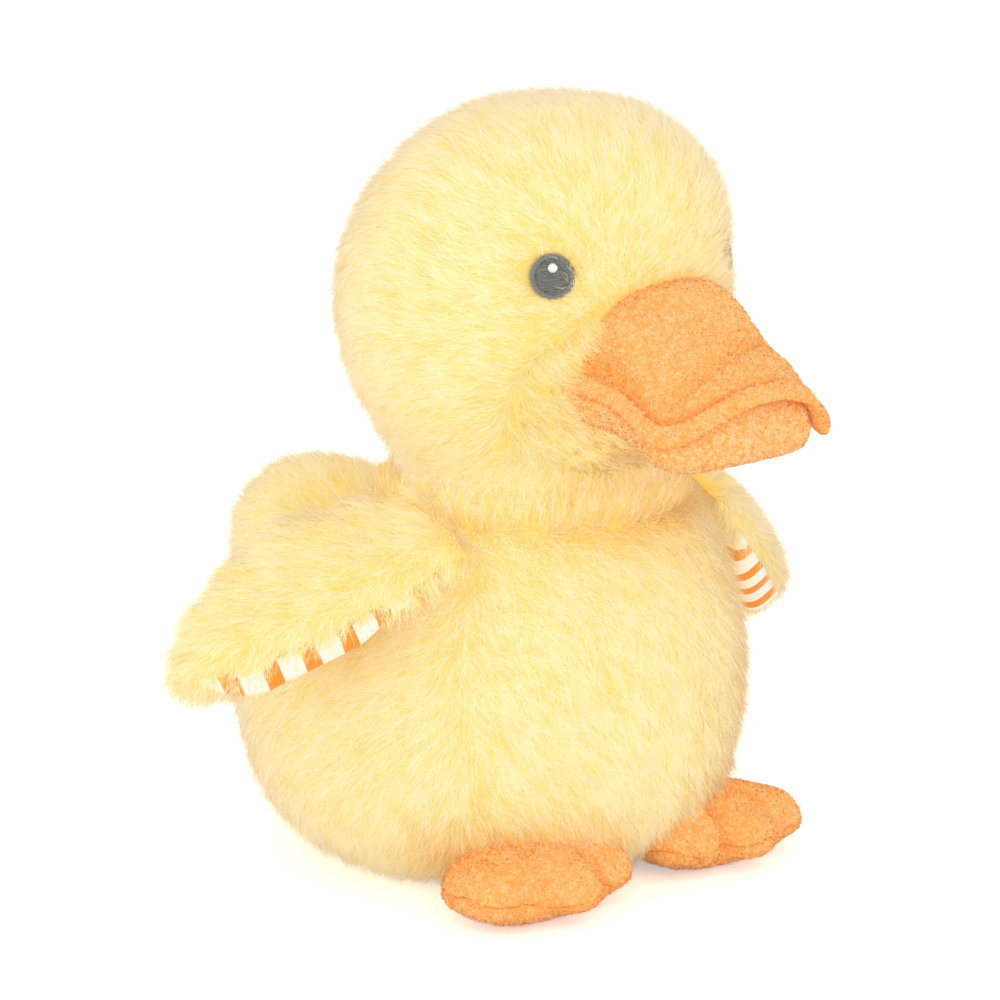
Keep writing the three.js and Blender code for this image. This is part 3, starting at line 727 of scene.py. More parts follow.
# %% The bill's sizes, which the face's pile keeps clear of
BILL_HALF, BILL_ROOT, BILL_REACH = 39.5, 30, 31.5  # half widths at front and root, and out of the head
BILL_DOME, BILL_POUCH = 22.5, 12  # above the seam and below it
BILL_DROOP, BILL_BELOW = 11, 21  # how far the seam falls, and starts below the head's middle
LIP_WIDE, LIP_BEYOND = 5, 1.6  # and how far it stands out past the lower bill
LIP_ARCH, LIP_ASIDE, LIP_KNOB = 11.5, 5, 4  # the seam's arch, its place to the left, its drop at the knob
HEAD_FRONT = -(NECK_FORWARD + HEAD_RADIUS)
BILL_FRONT, BILL_BACK = HEAD_FRONT - BILL_REACH, HEAD_FRONT + BILL_ROOT
BILL_MIDDLE, HALF_LONG = (BILL_FRONT + BILL_BACK) / 2, (BILL_BACK - BILL_FRONT) / 2
BOXY = 0.42  # the power that makes the bill's rounded plan boxy
DOME = [(0, 1), (0.5, 1), (0.72, 0.5), (0.86, 0.27), (1, 0.1)]  # its height from the head to the front


def forward_share(y):
    return (BILL_BACK - y) / (BILL_BACK - BILL_FRONT)


def half_wide(y):
    return mix(BILL_ROOT, BILL_HALF, smooth(2 * forward_share(y) - 1))


def bill_plan(turn, out, inset_by):
    y = BILL_MIDDLE + out * (HALF_LONG - inset_by) * power(np.sin(turn), BOXY)
    return out * (half_wide(y) - inset_by) * power(np.cos(turn), BOXY), y


def bill_droop(y):
    return NECK_BALL[2] - BILL_BELOW - BILL_DROOP * np.maximum(0, forward_share(y) - 0.4) / 0.6


def knob_share(x, y):
    """How near a place of the plan is to the left front corner, where the lip curls in a knob."""
    return fade(x / BILL_HALF, 0.5, 0.3) * fade(forward_share(y), 0.62, 0.3)


def bill_seam(x, y):
    """The sewn edge's height: it arches up a little to the duck's left, and drops at the knob."""
    reach = BILL_HALF - np.sign(x - LIP_ASIDE) * LIP_ASIDE
    across = np.clip(np.abs(x - LIP_ASIDE) / reach, 0, 1)
    arch = LIP_ARCH * smooth(forward_share(y)) * (1 - across**2) ** 1.5
    return bill_droop(y) + arch - LIP_KNOB * knob_share(x, y)


# %% The eyes' and the bill's places on the face
EYE_TURN, EYE_HEIGHT, EYE_RADIUS = 40, NECK_BALL[2] + 14.5, 6.5
MIRROR = np.array([-1, 1, 1])
EYES = {"right": np.ones(3), "left": MIRROR}  # what the right eye's place is multiplied by for each
HEAD_DEEP, OUT_OF_REACH = 25, 999  # millimetres: through the head an eye is out of reach
FACE_POWER = 2.4  # how boxy the bill's base is on the face
BASE_HALF, BASE_TALL, BASE_HEIGHT, CHIN = 33, 22, 152, 136  # that base's half size, and heights on the face


def head_point(turn_degrees, height):
    """A point on the head's outline round to the duck's right from the front, and the way out of it."""
    angle = math.radians(turn_degrees)
    radius, above = (
        float(np.interp(-z, -head_outline[:, 1], head_outline[:, 0])) for z in (height, height + 1)
    )
    point = np.array([-radius * math.sin(angle), head_lean(height) - radius * math.cos(angle), height])
    out = np.array([-math.sin(angle), -math.cos(angle), radius - above])
    return point, out / np.linalg.norm(out)


EYE_POINT, EYE_OUT = head_point(EYE_TURN, EYE_HEIGHT)


def from_eyes(places):
    """The distance of each place from the nearer eye's middle, along the cloth."""
    reach = []
    for flip in EYES.values():
        apart, out = places - EYE_POINT * flip, EYE_OUT * flip
        flat = apart - np.outer(apart @ out, out)
        reach.append(np.where(apart @ out > -HEAD_DEEP, np.linalg.norm(flat, axis=1), OUT_OF_REACH))
    return np.minimum(*reach)


def behind_eye(places):
    """0 on the bill's side of an eye, where the pile stands up beside it, and 1 on its far side."""
    return fade(places[:, 1] - EYE_POINT[1], -3, 6)


def in_bill(places):
    """Where the bill is sewn on: inside its plan, and between its pouch and its dome."""
    x, y, z = places.T
    ahead = np.abs(y - BILL_MIDDLE) / HALF_LONG
    out = ((np.abs(x) / BILL_ROOT) ** FACE_POWER + ahead**FACE_POWER) ** BOXY
    dome = (BILL_DOME + 5) * np.maximum(0, 1 - out**3) ** 0.34
    pouch = BILL_POUCH * np.sqrt(np.maximum(0, 1 - out**3))
    return (out < 1) & (z < bill_seam(x, y) + dome) & (z > bill_droop(y) - pouch)


def on_head(places, up):
    eye_edge = EYE_RADIUS - 0.2 * (1 - behind_eye(places))
    return (from_eyes(places) > eye_edge) & ~in_bill(places) & (places[:, 2] > NECK_SEAM)


# %% How the face's pile lies round bill and eyes
def round_bill(places):
    """How near a place is to the bill's base, from 0 a finger's width away to 1 at its seam."""
    x, y, z = places.T
    ring = (np.abs(x) / BASE_HALF) ** 2.2 + (np.abs(z - BASE_HEIGHT) / BASE_TALL) ** 2.2
    return (1 - fade(ring, 1, 1.1)) * (y < -30)


def under_bill(places):
    return 1 - fade(places[:, 2], CHIN, 8)


def rise_head(places):
    at_eye = 1 - fade(from_eyes(places) - EYE_RADIUS, 1, 7)
    return (26 + 12 * under_bill(places)) * round_bill(places) + at_eye * mix(36, 14, behind_eye(places))


# Painted shade: the share of blades in the darker crease tint round the bill's base above the chin, and low
# on the head at the neck's seam.
def head_shade_share(places):
    above_chin = fade(places[:, 2], 138, 10)
    return 0.35 * round_bill(places) * above_chin + 0.5 * (1 - fade(places[:, 2], NECK_SEAM, 9))


def comb_face(places, up):
    """The head's brushing, parted round each eye and leaning over the bill's base."""
    over_bill = BILL_HEART + [0, 0, 8] - places
    direction = mix(comb_head(places, up), unit(over_bill), 0.85 * round_bill(places)[:, None])
    for flip in EYES.values():
        away = places - EYE_POINT * flip
        close = bell(np.maximum(np.linalg.norm(away, axis=1) - EYE_RADIUS, 0), 4.5)[:, None]
        direction = unit(direction + 1.2 * close * unit(away))
    return direction


def trim_head(places):
    """Clipped short behind the eyes, longer in front of them, and shorter at the neck and the chin."""
    near_eye = 1 - fade(from_eyes(places), EYE_RADIUS, 9)
    round_eye = 1 + near_eye * mix(0.12, -0.32, behind_eye(places))
    at_neck = 0.75 + 0.25 * fade(places[:, 2], NECK_SEAM, 12)
    return round_eye * at_neck * (1 - 0.2 * under_bill(places) * round_bill(places))


# %% Head pile
grow_pile("head_pile", head_backing, "head", "long_pile_fur", comb_face, on_head,
          trim=trim_head, rise=rise_head, crease=head_shade_share, **FUR)

# %% [markdown]
# The tail
#
# A plump lobe of the same fur, sewn to the back of the body. Its backing is an egg that narrows and lifts
# a little to the back, and its pile is brushed outwards and back from the seam.

# %% Tail
TAIL_HALF, TAIL_LENGTH, TAIL_RISE = 33, 38, 30  # half its size each way
TAIL_HEIGHT, TAIL_SUNK = 80, 7  # above the table, and into the body
TAIL_MIDDLE = BODY_BACK + BODY_RADIUS - TAIL_SUNK
TAIL_TAPER = 0.12
TAIL_ROOT = np.array([0, TAIL_MIDDLE - 34, TAIL_HEIGHT + 4])  # what its pile is brushed away from


def egg(rows, around):
    down, turn = grid(rows, around)
    width = np.sin(np.pi * down)
    backward = width * np.sin(turn)
    taper = 1 - TAIL_TAPER * np.maximum(0, backward)
    z = TAIL_HEIGHT + (TAIL_RISE - PILE) * (np.cos(np.pi * down) + TAIL_TAPER * backward)
    x = (TAIL_HALF - PILE) * width * np.cos(turn) * taper
    return as_points(x, TAIL_MIDDLE + (TAIL_LENGTH - PILE) * backward, z)


def on_tail(places, up):
    """Clear of the body, save for 6 mm that the body's own pile hides."""
    outline = body_outline[8:][::-1]
    radius = np.interp(places[:, 2], outline[:, 1], outline[:, 0])
    return np.hypot(places[:, 0], places[:, 1] - body_lean(places[:, 2])) - radius > -6


def comb_tail(places, up):
    return turn_about(along_cloth(places - TAIL_ROOT, up), up, swirl(places, 14, 0.15))


tail_backing = sew("tail_backing", egg(48, 80), 80, "body", "long_pile_fur", 0.85, "tail")
grow_pile("tail_pile", tail_backing, "body", "long_pile_fur", comb_tail, on_tail, **FUR)

# %% [markdown]
# The wings
#
# Each wing is two panels: fur above, and below a padded lining of cotton woven in orange and white stripes
# that shows as a rolled edge under the fur. The two are sewn along the wing's outline. Both are padded and
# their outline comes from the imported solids: front and back edges as shares of the widest chord. The fur
# wraps round root and tip, so the lining begins and ends inside the wing.

# %% The wing's sizes
WING_SPAN, WING_CHORD, WING_SEAM, WING_ROLL = 85, 48, 32, 6  # along, across, its root, and its hinge's roll
FRONT_EDGE = [(0, -0.32), (0.2, -0.38), (0.42, -0.41), (0.7, -0.38), (0.9, -0.29), (1, -0.12)]
BACK_EDGE = [(0, 0.32), (0.2, 0.5), (0.42, 0.59), (0.62, 0.5), (0.8, 0.31), (0.92, 0.1), (1, -0.12)]
FUR_PAD = [(0, 7), (0.35, 10.5), (0.65, 10.5), (0.88, 8.5), (1, 6.5)]  # share of the span, millimetres thick
LINING_PAD = [(0, 1.2), (0.14, 2.5), (0.4, 11), (0.7, 12), (0.86, 10)]
LINING_START, LINING_SPAN = 20, 77
FUR_DEPTH, FUR_WRAP = 2.8, 9  # how deep the backing lies, and how far it wraps below the seam at the tip
SEAM_CLEAR = 0.15  # how far each of two panels stays from the seam between them
TIP_FROM, TIP_RUN = 0.8, 0.2  # where along a pad its tip begins to close
WING_ROUND, WING_BELOW, WING_OFF = -16, 11, 3  # its root: degrees round, below the body's top, off the body
WING_SET = {"left": (26, 34.5, 36), "right": (29.7, 24, 26)}  # degrees of sweep, droop and pitch
ROLL_ROWS, PAD_ROWS, PAD_AROUND = 10, 80, 72


# %% A wing's place and its two pads
def wing_frame(side):
    """The wing's origin and its three directions: along the span, across to the back edge, and out."""
    sweep, droop, pitch = (math.radians(v) for v in WING_SET[side])
    along = np.array([math.cos(droop) * math.cos(sweep), math.cos(droop) * math.sin(sweep), -math.sin(droop)])
    across = turn_about(unit(np.cross([0, 0, 1], along)), along, pitch)
    height = BODY_HEIGHT - WING_BELOW
    upper = body_outline[body_outline[:, 1] > 50]
    out = float(np.interp(-height, -upper[:, 1], upper[:, 0])) + WING_OFF
    angle = math.radians(WING_ROUND)
    origin = np.array([out * math.cos(angle), out * math.sin(angle) + float(body_lean(height)), height])
    axes = np.array([along, across, np.cross(along, across)])
    return (origin * MIRROR, axes * MIRROR) if side == "right" else (origin, axes)


def wing_edges(share):
    """Where the wing's front and back edges lie, at a share of its span."""
    root_chord = WING_CHORD * (BACK_EDGE[0][1] - FRONT_EDGE[0][1])
    narrow = mix(WING_SEAM / root_chord, 1, smooth(share / 0.3))
    return (read_table(edge, share) * WING_CHORD * narrow for edge in (FRONT_EDGE, BACK_EDGE))


def wing_pad(side, thick, rounding, depth, span, start=0.0, under=0.0):
    """A pad on one side of the wing's seam in the wing's own frame, drawn in by a depth. Its first rows are
    the roll at the hinge. thick is a table of its thickness along the wing, start and span are where it
    begins and ends, and under is how far it wraps below the seam at the tip."""
    row = np.arange(PAD_ROWS)[:, None]
    on_roll = row < ROLL_ROWS
    rolled = np.pi / 2 * row / ROLL_ROWS
    run = np.sin(np.pi / 2 * np.maximum(0, (row - ROLL_ROWS) / (PAD_ROWS - 1 - ROLL_ROWS)))
    share = (start + run * (span - start)) / WING_SPAN
    turn = circle(PAD_AROUND)
    front, back = wing_edges(share)
    closing = np.sqrt(1 - np.maximum(0, (run - TIP_FROM) / TIP_RUN) ** 2)
    swell = read_table(thick, share) - depth * 0.8
    high = np.where(on_roll, swell[ROLL_ROWS] * np.sin(rolled), swell * closing)
    wide = np.maximum(((back - front) / 2 - depth) * mix(0.5, 1, closing), 0.1)
    wide[0] = wide[-1] = 0
    x = start + np.where(on_roll, -WING_ROLL * np.cos(rolled), run * (span - depth - start))
    y = (front + back) / 2 - wide * power(np.cos(turn), rounding[0])
    rise = side * power(np.sin(turn), rounding[1])
    below = under * fade(share, 0.7, 0.16) * closing
    above = np.maximum(high - SEAM_CLEAR, 0) * np.maximum(0, rise)
    return as_points(x, y, side * (SEAM_CLEAR + above - below * np.maximum(0, -rise)))


# %% Striped cotton
STRIPE_PITCH, ORANGE_WIDE, STRIPE_START = 11.7, 4.9, 8.9  # millimetres along the wing
YARN = 0.5  # drawn a little coarser than a fine cotton, so that the weave shows
WAVES = 3.2  # how many waves a wave texture of scale 1 has in one unit


def striped_cotton():
    """Plain-woven cotton with dyed stripes: two sets of yarn that pass over and under each other."""
    made, tree = material("striped_cotton_weave")
    cloth = add_node(tree, "UVMap", uv_map="cloth_mm")
    wobble = add_node(tree, "TexNoise", cloth, Scale=0.6, Detail=2).outputs["Color"]
    shifted = add_node(tree, "MixRGB", 0.04, cloth, wobble, blend_type="ADD")
    along = add_node(tree, "SeparateXYZ", shifted)
    past_start = add_node(tree, "Math", along, STRIPE_START, operation="SUBTRACT")
    cycle = add_node(tree, "Math", past_start, STRIPE_PITCH, operation="DIVIDE")
    part = add_node(tree, "Math", cycle, operation="FRACT")
    orange = add_node(tree, "Math", part, ORANGE_WIDE / STRIPE_PITCH, operation="LESS_THAN")
    warp, weft = (
        add_node(tree, "TexWave", cloth, Scale=1 / YARN / WAVES, bands_direction=way).outputs["Fac"]
        for way in "XY"
    )
    weave = add_node(tree, "Math", warp, weft, operation="MULTIPLY")
    dyed = add_node(tree, "MixRGB", orange, linear("#FFFBF4"), linear("#F59A33"))
    shaded = add_node(tree, "MixRGB", 0.06, dyed, weave, blend_type="MULTIPLY")
    bump = add_node(tree, "Bump", Height=weave, Strength=0.35, Distance=0.15 * MM)
    cotton = add_node(
        tree, "BsdfPrincipled", shaded, Normal=bump, Roughness=0.85, IOR=1.53, Specular_IOR_Level=0.25,
        Sheen_Weight=0.1,
    )
    add_node(tree, "OutputMaterial", cotton)
    return made


CLOTHS["striped_cotton"] = striped_cotton()


# %% Sewing the wings
def lay_cloth(piece, origin, axes):
    """A UV map in millimetres of the wing's own frame, for the weave to follow."""
    places = read_all(piece.data.vertices, "co") / MM - origin
    flat = np.column_stack([places @ axes[0], places @ axes[1] + 0.6 * places @ axes[2]])
    corners = read_all(piece.data.loops, "vertex_index", 1, int)[:, 0]
    uv = piece.data.uv_layers.new(name="cloth_mm")
    uv.data.foreach_set("uv", flat[corners].reshape(-1).astype(np.float32))


def sew_wing(side):
    origin, axes = wing_frame(side)
    body = f"wing_{side}"
    fur = wing_pad(1, FUR_PAD, (0.75, 0.75), FUR_DEPTH, WING_SPAN, under=FUR_WRAP) @ axes + origin
    stripes = wing_pad(-1, LINING_PAD, (0.45, 0.5), 0, LINING_SPAN, start=LINING_START) @ axes + origin
    backing = sew(f"{body}_backing", fur, PAD_AROUND, body, "long_pile_fur", 0.6, f"{body}_fur")
    lining = sew(f"{body}_stripes", stripes, PAD_AROUND, body, "striped_cotton", 0.5, f"{body}_lining")
    lay_cloth(lining, origin, axes)

    def local(places):
        return (places - origin) @ axes.T

    def over_rim(x, y):
        """How near a place is to the front rim, where the pile hangs over the striped edge."""
        front, _ = wing_edges(np.clip(x / WING_SPAN, 0, 1))
        return smooth((front + 9 - y) / 8)

    def comb(places, up):
        x, y, _ = local(places).T
        fan = 0.35 * np.clip((y - 2) / 20, -1, 1)[:, None]
        hang = 0.5 * axes[0] - 0.3 * axes[1] - axes[2]
        direction = mix(axes[0] + fan * axes[1], hang, over_rim(x, y)[:, None])
        return turn_about(unit(direction), up, swirl(places, 15, 0.12))

    def trim(places):
        """Long at the root, where it hides the seam, and clipped where the stripes show."""
        x, y, _ = local(places).T
        striped = fade(x, 12, 22) * (1 - fade(x, 74, 8))
        return (1.1 - over_rim(x, y) * 0.22 * striped) * (0.85 if side == "left" else 1)

    def keep(places, up):
        """Not where the lining lies against the backing, nor in the seam."""
        x, y, z = local(places).T
        flat = (np.abs(z) < 0.25) & (up @ axes[2] < -0.8) & (x > LINING_START + 2)
        return ~flat & ((x > -5) | (y < -4))

    grow_pile(f"{body}_pile", backing, body, "long_pile_fur", comb, keep, trim=trim, **dict(FUR, length=8.5))


for wing_side in ("left", "right"):
    sew_wing(wing_side)

# %% [markdown]
# The bill
#
# Two panels of terry velour, stuffed: an upper that domes up from a stitched groove and ends in a rolled
# lip, and a soft pouch below it. The sewn edge droops to the front and arches up in its middle, and at the
# duck's left corner the lip curls in a round knob. Its grid follows the same rounded plan as the packed
# solid, finer, so that folds can be pressed into it.

# %% The bill's lip, fold and creases
LIP = [(0, 1.9), (0.12, 2.4), (0.35, 4.3), (0.6, 4.2), (0.85, 2.9), (1, 0)]  # across it, millimetres high
LIP_AT_ROOT = 1.25  # how many times as high it is beside the cheek
KNOB_TALL, KNOB_HANG = 5.0, 2.8  # how far the round knob stands above the sewn edge and hangs below it
FOLD, FOLD_SLANT = -97.5, 0.07  # where a soft fold runs across the top, and how much further back to the left
TOP_ROWS, UNDER_ROWS = 0.7, 0.3  # the shares of its rows above the sewn edge and below it
INNER_ROWS, LIP_ROWS = 0.7, 0.3  # and of the rows above, those inside the groove and those on the lip
FLAT_ROWS, POUCH_ROWS = 0.25, 0.75  # the lower panel's rows on its flat top, and round the pouch
PLAN_POWER = 4.76  # about 2 / BOXY
LIP_INNER = 1 - LIP_WIDE / BILL_HALF  # where the groove lies, as a share of the way to the edge


def from_fold(x, y):
    return y - FOLD - FOLD_SLANT * x - 1.2 * np.sin(x / 9)


def folds(x, y):
    """A fold across the top: a soft ridge, and a hollow behind it."""
    at = from_fold(x, y)
    return smooth((34 - np.abs(x)) / 8) * (1.9 * bell(at, 3.0) - 2.0 * bell(at - 5, 2.9))


def plan_out(x, y):
    """How far out a place lies in the bill's plan, as a share of the way to its edge."""
    ahead = np.abs(y - BILL_MIDDLE) / HALF_LONG
    return ((np.abs(x) / half_wide(y)) ** PLAN_POWER + ahead**PLAN_POWER) ** (1 / PLAN_POWER)


def bill_shade_share(places):
    """Painted shade: more of the nap takes the darker crease tint in the stitched groove, the hollow behind
    the fold, and the line between the lip and the lower bill.
    """
    x, y, z = places.T
    height = z - bill_seam(x, y)
    groove = bell((plan_out(x, y) - 1 + LIP_WIDE / BILL_HALF) * BILL_HALF, 1.3) * (height > 1.5)
    hollow = bell(from_fold(x, y) - 4.5, 2.4) * (height > 5) * (np.abs(x) < 28)
    return 0.75 * groove + 0.4 * hollow + 0.5 * bell(height, 1.2)


# %% Bill panels
def knob_roll(edge_share):
    """The round section of the lip at its knob, from 0 at its rims to 1 in its middle."""
    return np.sqrt(np.clip(1 - ((edge_share - 0.45) / 0.55) ** 2, 0, 1))


def upper_bill(rows, around):
    down, turn = grid(rows, around)
    on_top, top_share = down <= TOP_ROWS, down / TOP_ROWS
    on_edge = on_top & (top_share > INNER_ROWS)
    edge_share = np.clip((top_share - INNER_ROWS) / LIP_ROWS, 0, 1)
    out_on_top = np.where(on_edge, mix(LIP_INNER, 1, edge_share), top_share / INNER_ROWS * LIP_INNER)
    out = np.where(on_top, out_on_top, (1 - down) / UNDER_ROWS)
    x, y = bill_plan(turn, out, 0)
    fall = np.maximum(0, 1 - (out / LIP_INNER) ** 3) ** 0.36
    tall = mix(LIP_AT_ROOT, 1, smooth(2 * forward_share(y) - 0.3))
    crown = BILL_DOME + 4.2 - LIP[0][1] * tall
    dome = crown * read_table(DOME, forward_share(y)) * fall + folds(x, y) * fall
    knob = knob_share(x, y)
    lip = mix(read_table(LIP, edge_share) * tall, KNOB_TALL * knob_roll(edge_share), knob)
    hang = KNOB_HANG * knob * knob_roll((out - LIP_INNER) / (1 - LIP_INNER))
    high = np.where(on_top, lip + np.where(on_edge, 0, dome), -hang)
    return as_points(x, y, bill_seam(x, y) + SEAM_CLEAR + high)


def lower_bill(rows, around):
    down, turn = grid(rows, around)
    on_top = down <= FLAT_ROWS
    out = np.where(on_top, down / FLAT_ROWS, np.sin(np.pi / 2 * (1 - down) / POUCH_ROWS))
    x, y = bill_plan(turn, out, LIP_BEYOND)
    x, y = bill_plan(turn, out, LIP_BEYOND + 2.8 * knob_share(x, y))
    hang = BILL_POUCH * np.sqrt(np.maximum(0, 1 - out**3))
    line = bill_seam(x, y)
    return as_points(x, y, np.where(on_top, line, np.minimum(line, bill_droop(y) - hang)) - SEAM_CLEAR)


bill_upper = sew("bill_upper_terry", upper_bill(120, 220), 220, "head", "terry", 0.8, "bill_upper")
bill_lower = sew("bill_lower_terry", lower_bill(80, 200), 200, "head", "terry", 0.6, "bill_lower")


# %% Terry nap
def comb_any(places, up):
    """The nap of a velour has no direction: each tuft leans its own way."""
    away = unit(np.cross(up, np.array([0.3, 0.2, 1.0])))
    return turn_about(away, up, RANDOM.uniform(0, 2 * np.pi, len(places)))


# Dealt at random, these tints also paint light and shade by their lengths: short deep blades for the shade
# down in the nap, long pale ones for light on its tips.
TERRY_TINTS = [("deep", 0.3, 0.85), ("mid", 0.45, 1.0), ("pale", 0.25, 1.1)]
LOWER_TINTS = [("deep", 0.1, 0.85), ("mid", 0.3, 1.0), ("pale", 0.6, 1.1)]  # paler by the floor's light
NAP = dict(length=1.3, per_mm2=1.25, blades=8, spread=0.4, width=0.25, lifts=(50, 22), stray=0.5, soft=0.8)
HEAD_EGG, HEAD_EGG_HALF = np.array([0, -16, 172]), np.array([60, 58, 62])  # an egg that the head holds


def bill_outside(places, up):
    """Clear of the head, and of the faces that the two panels turn to each other."""
    x, y, z = places.T
    clear = np.linalg.norm((places - HEAD_EGG) / HEAD_EGG_HALF, axis=1) > 0.93
    inner_face = (np.abs(z - bill_seam(x, y)) < 0.3) & (np.abs(up[:, 2]) > 0.7)
    return clear & ~inner_face


for panel, tints in ((bill_upper, TERRY_TINTS), (bill_lower, LOWER_TINTS)):
    grow_pile(panel.name.replace("terry", "nap"), panel, "head", "terry", comb_any, bill_outside, tints,
              crease=bill_shade_share, **NAP)

# %% [markdown]
# The feet
#
# Flat stuffed feet of the same terry, an upper and a sole joined by a seam round the side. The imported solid
# is an instep and three toes run together. A voxel remesh of it melts the facets into one skin, and
# smoothing rounds it as stuffing does. Lines between the toes are pressed in, and then it is cut at the
# side seam, which waves a little as the filling pushes on it.

# %% One skin for a foot
FOOT_SEAM, SEAM_GAP = 8.5, 0.1
VOXEL, SMOOTHING = 1.1, 5  # millimetres, passes
TOE_DENT, TOE_NOTCH = 3.4, 3.0  # how deep the lines between the toes are, from above and from the front


def stuffed_copy(name, nodes):
    """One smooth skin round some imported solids."""
    build = bmesh.new()
    for node in nodes:
        build.from_mesh(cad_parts[node].data)
    data = bpy.data.meshes.new(name)
    build.to_mesh(data)
    build.free()
    piece = add_object(name, data)
    melt = piece.modifiers.new("melt", "REMESH")
    melt.mode, melt.voxel_size = "VOXEL", VOXEL * MM
    soften = piece.modifiers.new("soften", "SMOOTH")
    soften.factor, soften.iterations = 0.5, SMOOTHING
    made = bpy.data.meshes.new_from_object(piece.evaluated_get(bpy.context.evaluated_depsgraph_get()))
    bpy.data.objects.remove(piece)
    return made


# %% Toes and side seam
def toe_lines(side, x, y):
    """How near a place is to a line between two toes, from 0 to 1. They run back from the notches."""
    across = x - (FOOT_APART if side == "left" else -FOOT_APART)
    ahead = -(y + FOOT_TUCK)
    line = 6 + 5 * np.clip((ahead - 14) / 20, 0, 1)
    depth = np.where((across < 0) & (side == "right"), 0.3, 1)  # that foot's outer toes are stuffed into one
    return depth * bell(np.abs(across) - line, 1.9) * fade(ahead, 9, 12)


def seam_wave(x, y):
    """The side seam isn't straight: the filling bulges it up and down."""
    return 1.5 * np.sin(x / 5.2 + 1.1) + 1.0 * np.sin((y + x) / 3.4)


def dent_toes(skin, side):
    """Pull the stuffed skin in along the lines between the toes, and level its wavy seam for the cut."""
    x, y, z = read_all(skin.vertices, "co").T / MM
    near = toe_lines(side, x, y)
    z = z - TOE_DENT * near * fade(z, 4, 12)
    y = y + TOE_NOTCH * near * fade(-y - FOOT_TUCK, 26, 8)
    skin.vertices.foreach_set("co", (np.column_stack([x, y, z - seam_wave(x, y)]) * MM).reshape(-1))


# %% Sewing the feet
def half_foot(name, skin, lower):
    """The skin above or below the side seam, closed along the cut, with the seam's wave put back."""
    build = bmesh.new()
    build.from_mesh(skin)
    cut = bmesh.ops.bisect_plane(
        build,
        geom=build.verts[:] + build.edges[:] + build.faces[:],
        plane_co=(0, 0, (FOOT_SEAM + (-SEAM_GAP if lower else SEAM_GAP)) * MM),
        plane_no=(0, 0, 1),
        clear_outer=lower,
        clear_inner=not lower,
    )
    bmesh.ops.holes_fill(build, edges=[e for e in cut["geom_cut"] if isinstance(e, bmesh.types.BMEdge)])
    bmesh.ops.triangulate(build, faces=[f for f in build.faces if len(f.verts) > 4])
    for corner in build.verts:
        waved = corner.co.z + seam_wave(corner.co.x / MM, corner.co.y / MM) * MM
        corner.co.z = max(waved, 0)
    data = bpy.data.meshes.new(name)
    build.to_mesh(data)
    build.free()
    return data


def sew_foot(side):
    body = f"foot_{side}"
    skin = stuffed_copy(f"{body}_skin", [f"{body}_upper", f"{body}_sole"])
    dent_toes(skin, side)

    def above_seam(places):
        return places[:, 2] - FOOT_SEAM - seam_wave(places[:, 0], places[:, 1])

    def keep(places, up):
        return (np.abs(above_seam(places)) > 0.3) & (places[:, 2] > 0.8)

    # Painted shade: the nap takes the darker crease tint along the side seam, in the lines between the toes
    # and under the belly.
    def crease(places):
        toes = toe_lines(side, places[:, 0], places[:, 1]) * (places[:, 2] > 6)
        shade_under_belly = fade(places[:, 1] + FOOT_TUCK, -20, 12)
        return 0.5 * bell(above_seam(places), 1.0) + 0.4 * toes + 0.25 * shade_under_belly

    for part in ("upper", "sole"):
        data = half_foot(f"{body}_{part}_terry", skin, part == "sole")
        piece = add_stuffed(data, body, "terry", 0.8, f"{body}_{part}")
        grow_pile(f"{body}_{part}_nap", piece, body, "terry", comb_any, keep, TERRY_TINTS,
                  crease=crease, **NAP)
    bpy.data.meshes.remove(skin)


for foot_side in ("left", "right"):
    sew_foot(foot_side)

# %% [markdown]
# The eyes
#
# Each eye is embroidered: rows of grey satin stitch fill a disc, a ring of short radial stitches binds its
# edge, and a few white stitches make a spark of light. Thread is modelled as thin rounded tubes.


# %% Thread
def thread_finish(name, dark, light):
    """Twisted rayon thread: a painted sheen, lighter where its turning strands would catch the light, changes
    its shade along it.
    """
    made, tree = material(name)
    place = add_node(tree, "TexCoord").outputs["Object"]
    painted_strand_sheen = add_node(tree, "TexNoise", place, Scale=1 / (0.25 * MM)).outputs["Fac"]
    ramp = add_node(tree, "ValToRGB", painted_strand_sheen)
    low, high = ramp.color_ramp.elements
    low.color, high.color = linear(dark), linear(light)
    low.position, high.position = 0.35, 0.65
    add_node(tree, "OutputMaterial", add_node(tree, "BsdfPrincipled", ramp, Roughness=0.5, IOR=1.52))
    return made


CLOTHS["embroidery_grey"] = GREY_THREAD = thread_finish("rayon_thread_grey", "#585D5B", "#8D918D")
RIM_THREAD = thread_finish("rayon_thread_grey_rim", "#6E7371", "#A0A4A0")
WHITE_THREAD = thread_finish("rayon_thread_white", "#EDEDEA", "#FFFFFF")
THREAD = 0.17  # its radius in millimetres
TUBE_STEPS, TUBE_SIDES, TUBE_END = 4, 5, 0.35


